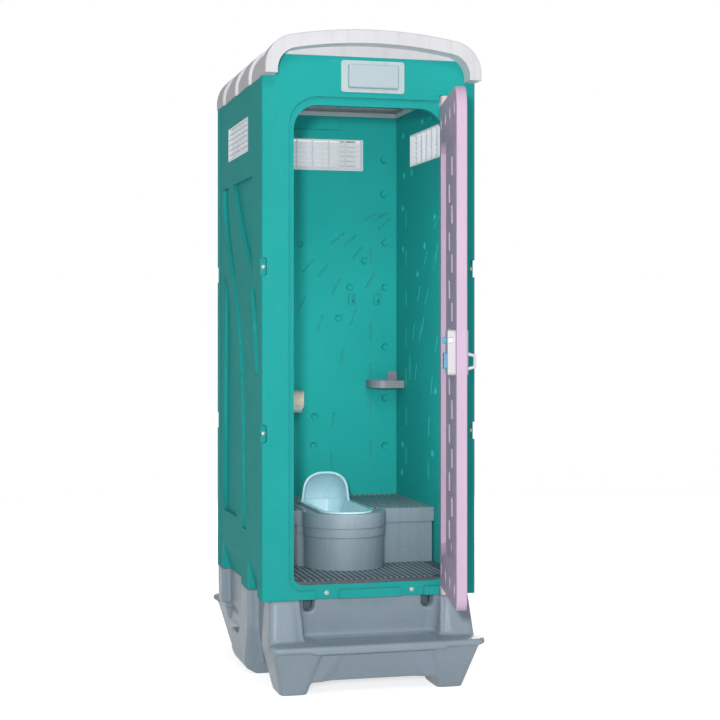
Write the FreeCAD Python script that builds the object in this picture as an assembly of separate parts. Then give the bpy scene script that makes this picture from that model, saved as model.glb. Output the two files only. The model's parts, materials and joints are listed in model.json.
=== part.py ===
import FreeCAD, Part
import math
import os
from FreeCAD import Vector

# Portable squat toilet cabin on a waste tank, in millimetres.
# X runs to the right along the front, Y runs from the front to the rear, Z is up from the ground.
# The door stands open. It and its lock are built closed, then turned about the hinge line.

# Cabin walls
cabin_width = 890.0
cabin_depth = 1070.0
wall_foot_z = 370.0
eaves_z = 2463.0
wall_thickness = 45.0
side_wall_inset = 4.0
wall_edge_radius = 8.0
panel_gap = 0.3

# Doorway and the rebate that the door closes into
doorway_width = 626.0
doorway_sill_z = 427.0
doorway_head_z = 2353.0
doorway_head_radius = 100.0
doorway_sill_radius = 38.0
rebate_margin = 23.0
rebate_depth = 15.0
rebate_foot_z = 405.0
rebate_head_z = 2386.0
rebate_head_radius = 122.0
sill_bolt_offset = 178.0
sill_bolt_z = 394.0
sill_tab_width = 100.0
sill_bolt_reach = 36.0

# Door
door_side_gap = 3.0
door_foot_z = 409.0
door_head_z = 2361.0
door_thickness = 40.0
door_rebate_gap = 2.0
door_corner_radius = 95.0
door_rest_angle = 78.0
tray_depth = 20.0
tray_margin = 68.0
tray_foot_z = 550.0
tray_head_z = 2200.0
tray_radius = 40.0
rail_dimple_width = 34.0
rail_dimple_height = 60.0
rail_dimple_depth = 5.0
rail_dimple_count = 4
pivot_radius = 6.0
pivot_clearance = 0.05
pivot_insert = 30.0
pivot_block_width = 36.0
pivot_pocket_gap = 4.0
pivot_block_gap = 2.0
pivot_block_head_z = 2404.0
pivot_foot_depth = 36.0

# Lock on the free edge of the door
lock_z = 1366.0
lock_height = 168.0
lock_width = 92.0
lock_proud = 30.0
lock_edge_inset = 30.0
lock_wall = 3.0
knob_radius = 13.0
knob_height = 16.0
knob_z_offset = 46.0
spindle_radius = 5.0
spindle_clearance = 0.05
grip_width = 44.0
grip_height = 62.0
grip_proud = 12.0
bolt_throw = 24.0
bolt_width = 80.0
bolt_height = 20.0
bolt_thickness = 10.0
slide_clearance = 0.4
outer_plate_thickness = 6.0
indicator_radius = 16.0
handle_height = 70.0
handle_reach = 34.0

# Roof
roof_side_reach = 2.0
roof_peak_z = 2649.0
roof_top_radius = 1876.0
roof_shoulder_radius = 130.0
roof_skin = 8.0
roof_band_height = 13.0
roof_band_length = 165.0
roof_band_first = 280.0
roof_band_pitch = 313.0
roof_band_count = 3
roof_lip_drop = 15.0
roof_lip_skin = 7.0
visor_reach = 80.0
visor_band = 53.0
fascia_z = 2550.0

# Waste tank
tank_length = 1400.0
nosing_top_z = 213.0
nosing_height = 27.0
nosing_drop = 7.0
nosing_lip_half = 292.0
nosing_lip_slant = 22.0
nosing_depth = 105.0
nosing_corner_radius = 48.0
nosing_edge_radius = 13.0
tank_skin = 10.0
tank_column_top = 415.0
tank_column_foot = 428.0
tank_core_half = 397.0
tank_ground_gap = 50.0
foot_outer_half = 378.0
foot_inner_half = 268.0
foot_head_inner_half = 222.0
foot_front_y = -580.0
foot_length = 185.0
column_length = 180.0
skid_half_length = 135.0
buttress_half_length = 225.0
buttress_head_reach = 505.0
buttress_lean = 13.0
runner_front_y = 100.0
skid_inner_half = 300.0
skid_chamfer = 55.0
pocket_depth = 40.0
pocket_front_y = -85.0
pocket_rear_y = 405.0
pocket_foot_z = 145.0
step_recess_half = 281.0
step_recess_flare = 14.0
step_recess_lean = 36.0
step_recess_radius = 40.0
step_recess_y = 478.0
hook_notch_x = 248.0
hook_notch_width = 45.0
hook_notch_foot_z = 316.0
hook_notch_skin = 4.0
skirt_depth = 34.0
skirt_head_half = 213.0
skirt_foot_half = 262.0
skirt_floor_head_half = 121.0
skirt_floor_foot_half = 188.0
manhole_radius = 105.0
port_radius = 55.0
port_wall = 6.0
port_height = 55.0
port_y = 600.0
port_x = -110.0
port_foot_drop = 4.0
lid_clearance = 1.5
lid_thickness = 5.0
lid_skirt = 6.0
lid_pin_radius = 4.0
lid_pin_offset = 13.0
lid_pin_drop = 6.0
lid_knuckle_radius = 9.0
lid_knuckle_half = 16.0
lid_ear_thickness = 8.0
lid_ear_gap = 1.0

# Floor and squat platform
floor_z = 445.0
floor_skin = 10.0
floor_field_depth = 3.0
platform_height = 235.0
platform_cap = 60.0
platform_skin = 8.0
platform_front_y = -120.0
platform_reveal = 7.0
drum_band_height = 38.0
drum_band_reveal = 3.0
platform_field_depth = 4.0
drum_half_width = 178.0
drum_front_y = -320.0
drum_fillet = 21.0
sill_cover_reach = 28.0
sill_cover_gap = 0.3
sill_cover_radius = 12.0

# Squat bowl
bowl_x = -14.0
bowl_half_width = 117.0
bowl_front_y = -292.0
bowl_rear_y = 335.0
bowl_rim_width = 20.0
bowl_wall_lean = 20.0
bowl_rim_height = 7.0
bowl_depth = 125.0
bowl_skin = 6.0
bowl_seat_clearance = 1.0
hood_mouth_y = 195.0
hood_height = 128.0
hood_half_width = 103.0
hood_length = 121.0
hood_skin = 6.0
hood_bead = 3.0
hood_bead_length = 9.0
outlet_radius = 62.0
outlet_y = 120.0
chute_skin = 5.0
chute_clearance = 0.5

# Vent openings and their grilles
vent_width = 475.0
vent_foot_z = 2195.0
vent_height = 145.0
side_vent_y = 27.0
grille_fit = 0.3
grille_frame = 5.0
slat_count = 6
slat_thickness = 3.5
slat_depth = 18.0
slat_rise = 16.0
mullion_count = 5
mullion_width = 6.0
mullion_depth = 14.0

# Joints of the wall panels
corner_bolt_heights = (1037.0, 1702.0)
bolt_notch_height = 74.0
bolt_notch_width = 20.0
bolt_notch_depth = 30.0
bolt_inset = 12.0
bolt_head_radius = 8.0
bolt_head_height = 6.0
bolt_shank_radius = 4.0
bolt_shank_length = 24.0

# Lamp over the doorway
lamp_x = 9.0
lamp_width = 263.0
lamp_foot_z = 2407.0
lamp_head_z = 2535.0
lamp_plate = 8.0
lamp_lens_proud = 20.0
lamp_lens_margin = 27.0
lamp_screw_inset = 9.0
lamp_screw_radius = 3.5

# Fittings inside the cabin
shelf_top_z = 1215.0
shelf_thickness = 34.0
shelf_along_rear = 150.0
shelf_along_side = 130.0
shelf_bracket_height = 40.0
hook_z = 1595.0
hook_wall_offsets = (215.0, 93.0)
hook_reach = 34.0
hook_wire = 7.0
holder_z = 1115.0
holder_wall_offset = 266.0
holder_width = 135.0
holder_reach = 92.0
holder_arm = 6.0
roll_radius = 46.0
roll_bore = 19.5
spindle_bar_radius = 19.2
roll_end_gap = 2.0
flap_thickness = 2.5

# Vent stack behind the cabin
stack_x = 190.0
stack_y = 600.0
stack_radius = 38.0
stack_skin = 4.0
stack_top_z = 2560.0
stack_cap_height = 50.0
stack_cap_radius = 52.0
stack_clip_heights = (800.0, 1450.0, 2100.0)
stack_clip_height = 30.0

half_width = cabin_width / 2
roof_half_width = half_width + roof_side_reach
half_depth = cabin_depth / 2
front_y = -half_depth
rear_y = half_depth
wall_inner_x = half_width - wall_thickness
wall_inner_y = half_depth - wall_thickness
side_wall_outer_x = half_width - side_wall_inset
platform_z = floor_z + platform_height
hook_places = [wall_inner_x - offset for offset in hook_wall_offsets]
holder_x = -wall_inner_x + holder_wall_offset
rebate_half = doorway_width / 2 + rebate_margin
door_half = rebate_half - door_side_gap
door_inner_y = front_y + rebate_depth - door_rebate_gap
door_outer_y = door_inner_y - door_thickness
hinge_x = door_half - door_thickness / 2
hinge_y = (door_inner_y + door_outer_y) / 2
free_edge_x = -door_half
vent_head_z = vent_foot_z + vent_height
roof_slope_centre_z = roof_peak_z - roof_top_radius
tank_end_y = tank_length / 2
nosing_foot_z = nosing_top_z - nosing_height
rebate_foot_radius = doorway_sill_radius + rebate_margin / 2
tank_seam_z = nosing_foot_z - nosing_drop


def straight_outline(points):
    """Closed wire through a list of plane points."""
    corners = [Vector(x, y, 0) for x, y in points]
    return Part.makePolygon(corners + corners[:1])


def rounded_outline(x0, x1, y0, y1, radii, z=0.0):
    """Rectangle with rounded corners. Radii run anticlockwise from the corner at x1, y1."""
    if not isinstance(radii, (tuple, list)):
        radii = (radii,) * 4
    signs = ((1, 1), (-1, 1), (-1, -1), (1, -1))
    edges = []
    ends = []
    for (sx, sy), r, start in zip(signs, radii, (0, 90, 180, 270)):
        corner = Vector(x1 if sx > 0 else x0, y1 if sy > 0 else y0, z)
        if r <= 0:
            ends.append((corner, corner))
            continue
        centre = corner - Vector(sx * r, sy * r, 0)
        arc = Part.makeCircle(r, centre, Vector(0, 0, 1), start, start + 90)
        edges.append(arc)
        ends.append((arc.valueAt(arc.FirstParameter), arc.valueAt(arc.LastParameter)))
    for i, (_, leaving) in enumerate(ends):
        entering = ends[(i + 1) % 4][0]
        if leaving.distanceToPoint(entering) > 1e-6:
            edges.append(Part.makeLine(leaving, entering))
    return Part.Wire(Part.__sortEdges__(edges))


def extruded(axis, wire, low, high):
    """Solid from a plane outline. The outline holds (y, z), (x, z) or (x, y) for axis x, y or z."""
    solid = Part.Face(wire).extrude(Vector(0, 0, high - low))
    if axis == "z":
        solid.translate(Vector(0, 0, low))
    elif axis == "y":
        solid.translate(Vector(0, 0, -high))
        solid.rotate(Vector(), Vector(1, 0, 0), 90)
    else:
        solid.translate(Vector(0, 0, low))
        solid.rotate(Vector(), Vector(1, 1, 1), 120)
    return solid


def block(x0, x1, y0, y1, z0, z1):
    return Part.makeBox(x1 - x0, y1 - y0, z1 - z0, Vector(x0, y0, z0))


def rod(radius, start, end):
    """Round bar from one point to another."""
    way = end - start
    return Part.makeCylinder(radius, way.Length, start, way)


def tapered(foot, head, z0, z1, radius):
    """Solid between a rounded rectangle at z0 and one at z1, each given as (x0, x1, y0, y1)."""
    wires = [rounded_outline(*foot, radius, z0), rounded_outline(*head, radius, z1)]
    return Part.makeLoft(wires, True, True)


def united(shapes):
    first = shapes[0]
    return first.fuse(shapes[1:]).removeSplitter() if len(shapes) > 1 else first


def mirrored(shape, direction):
    return shape.mirror(Vector(), direction)


def both_sides(shape):
    """A shape and its mirror image across the cabin's middle."""
    return [shape, mirrored(shape, Vector(1, 0, 0))]


def both_ends(shape):
    """A shape and its mirror image from front to rear."""
    return [shape, mirrored(shape, Vector(0, 1, 0))]


def rounded_edges(shape, radius, wanted):
    """Fillets the edges whose middle point and direction the test accepts."""
    picked = []
    for edge in shape.Edges:
        middle = edge.valueAt((edge.FirstParameter + edge.LastParameter) / 2)
        if wanted(edge, middle):
            picked.append(edge)
    return shape.makeFillet(radius, picked)


def outlet_rod(radius, z0, z1):
    """Upright round bar on the axis of the bowl's outlet."""
    return rod(radius, Vector(bowl_x, outlet_y, z0), Vector(bowl_x, outlet_y, z1))


def is_upright(edge):
    """True for a straight edge along Z."""
    first = edge.valueAt(edge.FirstParameter)
    last = edge.valueAt(edge.LastParameter)
    return edge.Curve.TypeId == "Part::GeomLine" and first.distanceToPoint(
        Vector(last.x, last.y, first.z)
    ) < 1e-6


# Waste tank


def tank_core():
    """Plain middle of the tank: lower basin and upper block, without columns, feet or nosing."""
    foot_half = tank_core_half - 35
    end_half = tank_end_y - 45
    lower = tapered(
        (-foot_half, foot_half, foot_front_y - 15, -foot_front_y + 15),
        (-tank_core_half, tank_core_half, -end_half, end_half),
        tank_ground_gap,
        nosing_top_z,
        30,
    )
    upper = tapered(
        (-tank_core_half, tank_core_half, -half_depth - 45, half_depth + 45),
        (-tank_core_half, tank_core_half, -half_depth - 12, half_depth + 12),
        nosing_top_z - 1,
        wall_foot_z,
        30,
    )
    return [lower, upper]


def tank_nosing():
    """Rounded band at the front: thin at the ends, deeper along the middle."""
    plan = (-half_width, half_width, -tank_end_y, -tank_end_y + nosing_depth)
    band = tapered(plan, plan, nosing_foot_z, nosing_top_z, nosing_corner_radius)
    band = band.makeFillet(
        nosing_edge_radius,
        [e for e in band.Edges if e.BoundBox.ZLength < 1e-3],
    )
    shoulder_z = nosing_foot_z + nosing_edge_radius
    foot_half = nosing_lip_half - nosing_lip_slant
    lip = extruded(
        "y",
        straight_outline(
            (
                (-nosing_lip_half, shoulder_z),
                (-foot_half, tank_seam_z),
                (foot_half, tank_seam_z),
                (nosing_lip_half, shoulder_z),
            )
        ),
        -tank_end_y + 2,
        -tank_end_y + nosing_depth,
    )
    return [band, lip]


def tank_column():
    """Left front corner column above the nosing, which leans out towards its foot."""
    inner = -step_recess_half - step_recess_flare + 2
    rear = front_y - 60 + column_length
    return tapered(
        (-tank_column_foot, inner, front_y - 60, rear),
        (-tank_column_top, inner, front_y - 16, rear),
        nosing_top_z - 12,
        wall_foot_z,
        (26, 26, 26, step_recess_radius),
    )


def tank_foot():
    """Left front foot: wide under the nosing, tapering to the ground."""
    rear = foot_front_y + foot_length
    return tapered(
        (-foot_outer_half, -foot_inner_half, foot_front_y, rear),
        (-tank_column_foot + 2, -foot_head_inner_half, -tank_end_y + 25, rear + 12),
        0,
        nosing_foot_z + 4,
        26,
    )


def tank_runner():
    """Left rear foot, which runs forward under the tank's wall as far as the skid."""
    return tapered(
        (-foot_outer_half, -foot_inner_half, runner_front_y, -foot_front_y),
        (-tank_column_foot + 2, -foot_head_inner_half, runner_front_y, tank_end_y - 25),
        0,
        nosing_foot_z + 4,
        26,
    )


def tank_side():
    """Left buttress and skid in one: an upright slab whose outer foot is cut back."""
    side_view = straight_outline(
        (
            (-buttress_half_length, wall_foot_z),
            (-buttress_half_length, nosing_top_z),
            (-skid_half_length, 0),
            (skid_half_length, 0),
            (buttress_half_length, nosing_top_z),
            (buttress_head_reach, nosing_top_z),
            (buttress_head_reach + buttress_lean, wall_foot_z),
        )
    )
    slab = extruded("x", side_view, -half_width, -skid_inner_half)
    lower_cut = extruded(
        "y",
        straight_outline(
            (
                (-half_width - 1, skid_chamfer + 5),
                (-half_width + 10, skid_chamfer * 0.5),
                (-half_width + skid_chamfer, -1),
                (-half_width - 1, -1),
            )
        ),
        -tank_end_y,
        tank_end_y,
    )
    return slab.cut(lower_cut)


def side_pocket():
    """Tall pocket in the left buttress, open at its head, with a foot that slopes to the rear."""
    return extruded(
        "x",
        straight_outline(
            (
                (pocket_front_y, wall_foot_z + 1),
                (pocket_front_y + 70, nosing_top_z - 49),
                (pocket_front_y + 110, pocket_foot_z),
                (pocket_rear_y, pocket_foot_z - 6),
                (pocket_rear_y, wall_foot_z + 1),
            )
        ),
        -half_width - 1,
        -half_width + pocket_depth,
    )


def tank_cavity():
    """Room for the waste: a basin below the nosing and a smaller room under the deck."""
    basin_half = tank_core_half - 35 - tank_skin - 4
    room_half = tank_core_half - tank_skin - 4
    basin_end = -foot_front_y - tank_skin - 8
    basin = tapered(
        (-basin_half, basin_half, -basin_end, basin_end),
        (-room_half + 4, room_half - 4, -basin_end - 55, basin_end + 55),
        tank_ground_gap + tank_skin,
        nosing_top_z - tank_skin,
        24,
    )
    room_end = step_recess_y - tank_skin - hook_notch_skin
    room = tapered(
        (-room_half, room_half, -room_end, room_end),
        (-room_half, room_half, -room_end, room_end),
        nosing_top_z - tank_skin - 1,
        wall_foot_z - tank_skin,
        24,
    )
    return basin.fuse(room)


def step_recess():
    """Cut above the front tread: a leaning face between the two corner columns."""
    far = -tank_end_y - 60
    head_half = step_recess_half + step_recess_flare
    return tapered(
        (-step_recess_half, step_recess_half, far, -step_recess_y),
        (-head_half, head_half, far, -step_recess_y - step_recess_lean),
        nosing_top_z,
        wall_foot_z + 20,
        step_recess_radius,
    )


def tread_field():
    """Shallow sunk field of the front tread."""
    return extruded(
        "z",
        rounded_outline(-245, 245, -tank_end_y + 45, -step_recess_y - 16, 20),
        nosing_top_z - 4,
        nosing_top_z + 1,
    )


def hook_notch():
    """Lifting notch in the head of the leaning face, open at its top, with a round foot."""
    half = hook_notch_width / 2
    return extruded(
        "y",
        rounded_outline(
            -hook_notch_x - half,
            -hook_notch_x + half,
            hook_notch_foot_z,
            wall_foot_z + 1,
            (0, 0, half - 0.5, half - 0.5),
        ),
        -step_recess_y - 60,
        -step_recess_y + hook_notch_skin,
    )


def skirt_recess():
    """Sunk panel between the front feet, with slanted ends, narrower towards the nosing."""
    reach = 40.0
    spread = reach / skirt_depth

    def plan(face_half, floor_half, face_y, z):
        outer = face_half + (face_half - floor_half) * spread
        points = (
            (-outer, face_y - reach),
            (outer, face_y - reach),
            (floor_half, face_y + skirt_depth),
            (-floor_half, face_y + skirt_depth),
        )
        corners = [Vector(x, y, z) for x, y in points]
        return Part.makePolygon(corners + corners[:1])

    lean = tank_end_y - 25 + foot_front_y
    foot = plan(skirt_foot_half, skirt_floor_foot_half, foot_front_y, 0)
    head = plan(skirt_head_half, skirt_floor_head_half, foot_front_y - lean * 0.96, tank_seam_z)
    return Part.makeLoft([foot, head], True, True)


def make_tank_body():
    """The whole hollow tank, before it is parted at the seam under its nosing."""
    solids = tank_core()
    solids += tank_nosing() + [mirrored(s, Vector(0, 1, 0)) for s in tank_nosing()]
    for column in both_sides(tank_column()):
        solids += both_ends(column)
    for left in (tank_foot(), tank_runner(), tank_side()):
        solids += both_sides(left)
    body = united(solids)
    cuts = both_ends(step_recess()) + both_ends(tread_field()) + both_sides(side_pocket())
    for notch in both_sides(hook_notch()):
        cuts += both_ends(notch)
    cuts += [skirt_recess(), tank_cavity()]
    cuts.append(outlet_rod(manhole_radius, wall_foot_z - 60, wall_foot_z + 5))
    ledge_skin = nosing_top_z - tank_skin
    cuts.append(
        block(
            port_x - 60,
            port_x + 60,
            port_y - 60,
            port_y + port_radius,
            nosing_foot_z + tank_skin,
            ledge_skin + 1,
        )
    )
    cuts.append(port_rod(port_radius - port_wall, ledge_skin - 1, nosing_top_z + 1))
    cuts.append(
        rod(
            stack_radius - stack_skin,
            Vector(stack_x, stack_y, ledge_skin - tank_skin),
            Vector(stack_x, stack_y, nosing_top_z + 1),
        )
    )
    return body.cut(cuts)


def tank_layer(z0, z1):
    """The part of the tank between two heights."""
    slab = block(-cabin_width, cabin_width, -tank_length, tank_length, z0, z1)
    layer = tank_body.common(slab)
    return layer.Solids[0] if len(layer.Solids) == 1 else layer


def make_waste_tank():
    """Lower moulding: the basin on its feet, runners and skids, up to the seam."""
    return tank_layer(-1, tank_seam_z)


def make_tank_deck():
    """Upper moulding: nosing, treads, corner columns and the deck that carries the cabin."""
    return tank_layer(tank_seam_z, wall_foot_z + 1)


def lid_pin_place():
    """X and Z of the pin that the pump-out lid turns on."""
    x = port_x - port_radius - lid_pin_offset
    return x, nosing_top_z - port_foot_drop + port_height - lid_pin_drop


def lid_cross_rod(radius, half):
    """Round bar along Y on the line of the lid's pin."""
    x, z = lid_pin_place()
    return rod(radius, Vector(x, port_y - half, z), Vector(x, port_y + half, z))


def port_rod(radius, z0, z1):
    """Upright round bar on the pump-out neck's axis."""
    return rod(radius, Vector(port_x, port_y, z0), Vector(port_x, port_y, z1))


def make_pump_out_neck():
    """Short pipe on the rear ledge with two ears that carry the lid pin."""
    foot = nosing_top_z - port_foot_drop
    head = foot + port_height
    x, z = lid_pin_place()
    solids = [port_rod(port_radius, foot, head)]
    for side in (-1, 1):
        near = port_y + side * (lid_knuckle_half + lid_ear_gap)
        far = near + side * lid_ear_thickness
        y0, y1 = min(near, far), max(near, far)
        solids.append(rod(lid_knuckle_radius, Vector(x, y0, z), Vector(x, y1, z)))
        lug_foot = z - 2 * lid_knuckle_radius
        solids.append(block(x - lid_knuckle_radius, port_x - port_radius + 5, y0, y1, lug_foot, z - 0.5))
    bore = port_rod(port_radius - port_wall, foot - 1, head + 1)
    hole = lid_cross_rod(lid_pin_radius, lid_knuckle_half + 2 * lid_ear_thickness)
    return united(solids).cut([bore, hole])


def make_pump_lid_pin():
    return lid_cross_rod(lid_pin_radius, lid_knuckle_half + lid_ear_gap + lid_ear_thickness + 1)


def make_pump_out_lid():
    """Flat cup over the neck, with a hinge knuckle at one side and a lifting tab at the other."""
    inside = nosing_top_z - port_foot_drop + port_height + lid_clearance
    head = inside + lid_thickness
    radius = port_radius + lid_thickness + lid_clearance
    x, z = lid_pin_place()
    cup = port_rod(radius, inside - lid_skirt, head)
    cup = cup.makeFillet(2, [e for e in cup.Edges if abs(e.BoundBox.ZMin - head) < 1e-3])
    hollow = port_rod(port_radius + lid_clearance, inside - lid_skirt - 1, inside)
    tab = block(port_x + radius - 2, port_x + radius + 16, port_y - 15, port_y + 15, inside, head)
    knuckle = lid_cross_rod(lid_knuckle_radius, lid_knuckle_half)
    y0, y1 = port_y - lid_knuckle_half, port_y + lid_knuckle_half
    arm = block(x, port_x - port_radius - 1, y0, y1, z, head)
    strap = block(x, port_x - port_radius + 20, y0, y1, inside, head)
    bore = lid_cross_rod(lid_pin_radius + spindle_clearance, lid_knuckle_half + 1)
    return united([cup.cut(hollow), tab, knuckle, arm, strap]).cut(bore)


# Floor and squat platform


def sill_bolt_holes():
    """Holes for the two bolts through the sill and the floor's front edge."""
    far = front_y + rebate_depth + sill_bolt_reach + 1
    return [
        rod(bolt_shank_radius, Vector(x, front_y - 5, sill_bolt_z), Vector(x, far, sill_bolt_z))
        for x in (-sill_bolt_offset, sill_bolt_offset)
    ]


def sill_cover():
    """Front edge of the floor, which lies over the doorway's sill and bends down to it."""
    half = doorway_width / 2 - sill_cover_gap
    foot = doorway_sill_radius - sill_cover_gap
    start = -wall_inner_y - sill_cover_reach
    low = doorway_sill_z + sill_cover_gap
    outline = rounded_outline(-half, half, low, floor_z + foot, (0, 0, foot, foot))
    cover = extruded("y", outline, start, -wall_inner_y + 5)
    cover = cover.common(block(-half, half, start, 0, wall_foot_z, floor_z))
    return rounded_edges(
        cover,
        sill_cover_radius,
        lambda e, m: abs(m.y - start) < 1e-3 and abs(m.z - floor_z) < 1e-3,
    )


def make_floor_pan():
    """Inverted tray between the walls, with a sunk field for the ribs and a hole for the chute."""
    half_x = wall_inner_x - panel_gap
    half_y = wall_inner_y - panel_gap
    tray = block(-half_x, half_x, -half_y, half_y, wall_foot_z, floor_z)
    hollow = block(
        -half_x + floor_skin,
        half_x - floor_skin,
        -half_y + floor_skin,
        half_y - floor_skin,
        wall_foot_z - 1,
        floor_z - floor_skin,
    )
    field_half = doorway_width / 2 - doorway_sill_radius
    field = block(
        -half_x + 22,
        half_x - 52,
        -half_y + 0.5,
        platform_front_y - 4,
        floor_z - floor_field_depth,
        floor_z + 1,
    )
    front_field = block(
        -field_half,
        field_half,
        -half_y - sill_cover_reach - 1,
        -half_y + 1,
        floor_z - floor_field_depth,
        floor_z + 1,
    )
    hole = outlet_rod(manhole_radius, floor_z - 40, floor_z + 5)
    return united([tray.cut(hollow), sill_cover()]).cut([field, front_field, hole] + sill_bolt_holes())


def platform_outline(inset):
    """Plan of the bench across the cabin with the half-round drum that stands out of its front."""
    half_x = wall_inner_x - panel_gap - inset
    rear = wall_inner_y - panel_gap - inset
    front = platform_front_y + inset
    bench = extruded("z", rounded_outline(-half_x, half_x, front, rear, 6), 0, 1)
    half = drum_half_width - inset
    drum_plan = rounded_outline(
        bowl_x - half, bowl_x + half, drum_front_y + inset, front + 20, (0, 0, half - 0.5, half - 0.5)
    )
    plan = united([bench, extruded("z", drum_plan, 0, 1)])
    plan = rounded_edges(
        plan,
        drum_fillet + inset,
        lambda e, m: is_upright(e) and abs(abs(m.x - bowl_x) - half) < 1e-3 and abs(m.y - front) < 1e-3,
    )
    top = max(plan.Faces, key=lambda f: f.CenterOfMass.z)
    wire = top.OuterWire
    wire.translate(Vector(0, 0, -top.CenterOfMass.z))
    return wire


def make_platform_base():
    """Hollow body of the bench, set back a little under the cap, with a raised band on the drum."""
    foot = floor_z
    head = platform_z - platform_cap
    body = extruded("z", platform_outline(platform_reveal), foot, head)
    hollow = extruded("z", platform_outline(platform_reveal + platform_skin), foot - 1, head + 1)
    band = extruded("z", platform_outline(drum_band_reveal), head - drum_band_height, head)
    reach = drum_half_width + drum_fillet
    band_rear_y = platform_front_y + platform_reveal + 1
    band = band.common(block(bowl_x - reach, bowl_x + reach, drum_front_y, band_rear_y, foot, head))
    return body.fuse(band).cut(hollow).removeSplitter()


def make_platform_top():
    """Cap of the bench: a turned-down rim, a sunk tread field and the bowl's cut-out."""
    head = platform_z
    foot = platform_z - platform_cap
    cap = extruded("z", platform_outline(0.0), foot, head)
    inside = platform_outline(platform_reveal + platform_skin)
    hollow = extruded("z", inside, foot - 1, head - platform_skin)
    field = extruded(
        "z",
        platform_outline(26.0),
        head - platform_field_depth,
        head + 1,
    )
    well = extruded("z", bowl_outline(bowl_rim_width - bowl_seat_clearance - bowl_skin), foot - 1, head + 1)
    collar = extruded("z", bowl_outline(-6.0), head - platform_skin, head)
    return cap.cut([hollow, field]).fuse(collar).cut(well).removeSplitter()


def bowl_outline(inset):
    """Plan of the squat bowl: half-round at the door end and rounded at the hood end."""
    half = bowl_half_width - inset
    return rounded_outline(
        bowl_x - half,
        bowl_x + half,
        bowl_front_y + inset,
        bowl_rear_y - inset,
        (half * 0.85, half * 0.85, half - 0.5, half - 0.5),
    )


def make_squat_bowl():
    """Shallow basin with a rolled rim, a round outlet and a hood over its rear end."""
    rim_top = platform_z + bowl_rim_height
    rim = extruded("z", bowl_outline(0.0), platform_z, rim_top)
    rim = rim.makeFillet(
        bowl_rim_height * 0.6,
        [e for e in rim.Edges if abs(e.BoundBox.ZMin - rim_top) < 1e-3],
    )
    outer_top = bowl_outline(bowl_rim_width - bowl_skin)
    outer_top.translate(Vector(0, 0, platform_z + 1))
    outer_foot = bowl_outline(bowl_rim_width + bowl_wall_lean)
    outer_foot.translate(Vector(0, 0, rim_top - bowl_depth))
    inner_top = bowl_outline(bowl_rim_width)
    inner_top.translate(Vector(0, 0, rim_top + 1))
    inner_foot = bowl_outline(bowl_rim_width + bowl_wall_lean + bowl_skin)
    inner_foot.translate(Vector(0, 0, rim_top - bowl_depth + bowl_skin))
    outer = Part.makeLoft([outer_foot, outer_top], True, True)
    inner = Part.makeLoft([inner_foot, inner_top], True, True)
    spout_foot = rim_top - bowl_depth - 30
    spout = outlet_rod(outlet_radius, spout_foot, rim_top - bowl_depth + 1)
    outlet = outlet_rod(outlet_radius - bowl_skin, spout_foot - 1, rim_top)
    basin = united([rim, outer, spout]).cut([inner, outlet])
    return united([basin, make_bowl_hood()])


def hood_section(y, half, height):
    """Upright outline across the hood: steep sides, round shoulders and a nearly flat crown."""
    base = platform_z + bowl_rim_height - 1
    profile = ((1.05, 0.0), (1.0, 0.3), (0.93, 0.58), (0.77, 0.8), (0.56, 0.92), (0.32, 0.985), (0.0, 1.0))
    right = [Vector(bowl_x + half * u, y, base + height * v) for u, v in profile]
    left = [Vector(2 * bowl_x - point.x, y, point.z) for point in reversed(right[:-1])]
    arch = Part.BSplineCurve()
    arch.interpolate(right + left)
    return Part.Wire([arch.toShape(), Part.makeLine(left[-1], right[0])])


def hood_body(inset):
    """Solid through sections that close in towards the rear, less an inset."""
    wires = []
    for share in (0.0, 0.3, 0.55, 0.75, 0.9, 0.985):
        wide = (1 - share ** 3) ** 0.45
        tall = (1 - share ** 2) ** 0.5
        y = hood_mouth_y + (hood_length - inset) * share
        wires.append(hood_section(y, (hood_half_width - inset) * wide, (hood_height - inset) * tall))
    return Part.makeLoft(wires, True)


def make_bowl_hood():
    """Thin shell over the rear of the bowl, open to the door, with a bead round its mouth."""
    shell = hood_body(0.0).cut(hood_body(hood_skin))
    start = hood_mouth_y - hood_bead_length / 2
    way = Vector(0, hood_bead_length, 0)
    outer = Part.Face(hood_section(start, hood_half_width + hood_bead, hood_height + hood_bead))
    inner = Part.Face(hood_section(start, hood_half_width - hood_skin, hood_height - hood_skin))
    bead = outer.extrude(way).cut(inner.extrude(way))
    return united([shell, bead])


def make_drop_chute():
    """Pipe from the bowl's outlet through the floor into the tank, with a collar on the floor."""
    head = platform_z + bowl_rim_height - bowl_depth - 4
    foot = wall_foot_z - tank_skin - 20
    inner = outlet_radius + chute_clearance
    outer = inner + chute_skin
    pipe = outlet_rod(outer, foot, head)
    collar = outlet_rod(manhole_radius + 14, floor_z, floor_z + 6)
    bore = outlet_rod(inner, foot - 1, head + 1)
    return united([pipe, collar]).cut(bore)


# Walls


def notch_cut(side, z, wall_y, outward):
    """Bolt notch in the upright edge of an end wall, open to its face and its side."""
    tall = bolt_notch_height / 2
    x_in = side * (half_width - bolt_notch_width)
    x_out = side * (half_width + 5)
    face = wall_y
    floor = wall_y - outward * bolt_notch_depth
    return extruded(
        "y",
        rounded_outline(min(x_in, x_out), max(x_in, x_out), z - tall, z + tall, 12),
        min(face + outward * 5, floor),
        max(face + outward * 5, floor),
    )


def end_wall_notches(wall_y, outward):
    return [notch_cut(side, z, wall_y, outward) for side in (-1, 1) for z in corner_bolt_heights]


def corner_bolt(side, z, wall_y, outward):
    """Bolt with a round head that sits in a corner notch and runs into the side wall."""
    x = side * (half_width - bolt_inset)
    seat = wall_y - outward * bolt_notch_depth
    head = rod(bolt_head_radius, Vector(x, seat, z), Vector(x, seat + outward * bolt_head_height, z))
    shank = rod(bolt_shank_radius, Vector(x, seat, z), Vector(x, seat - outward * bolt_shank_length, z))
    return head.fuse(shank)


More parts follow.
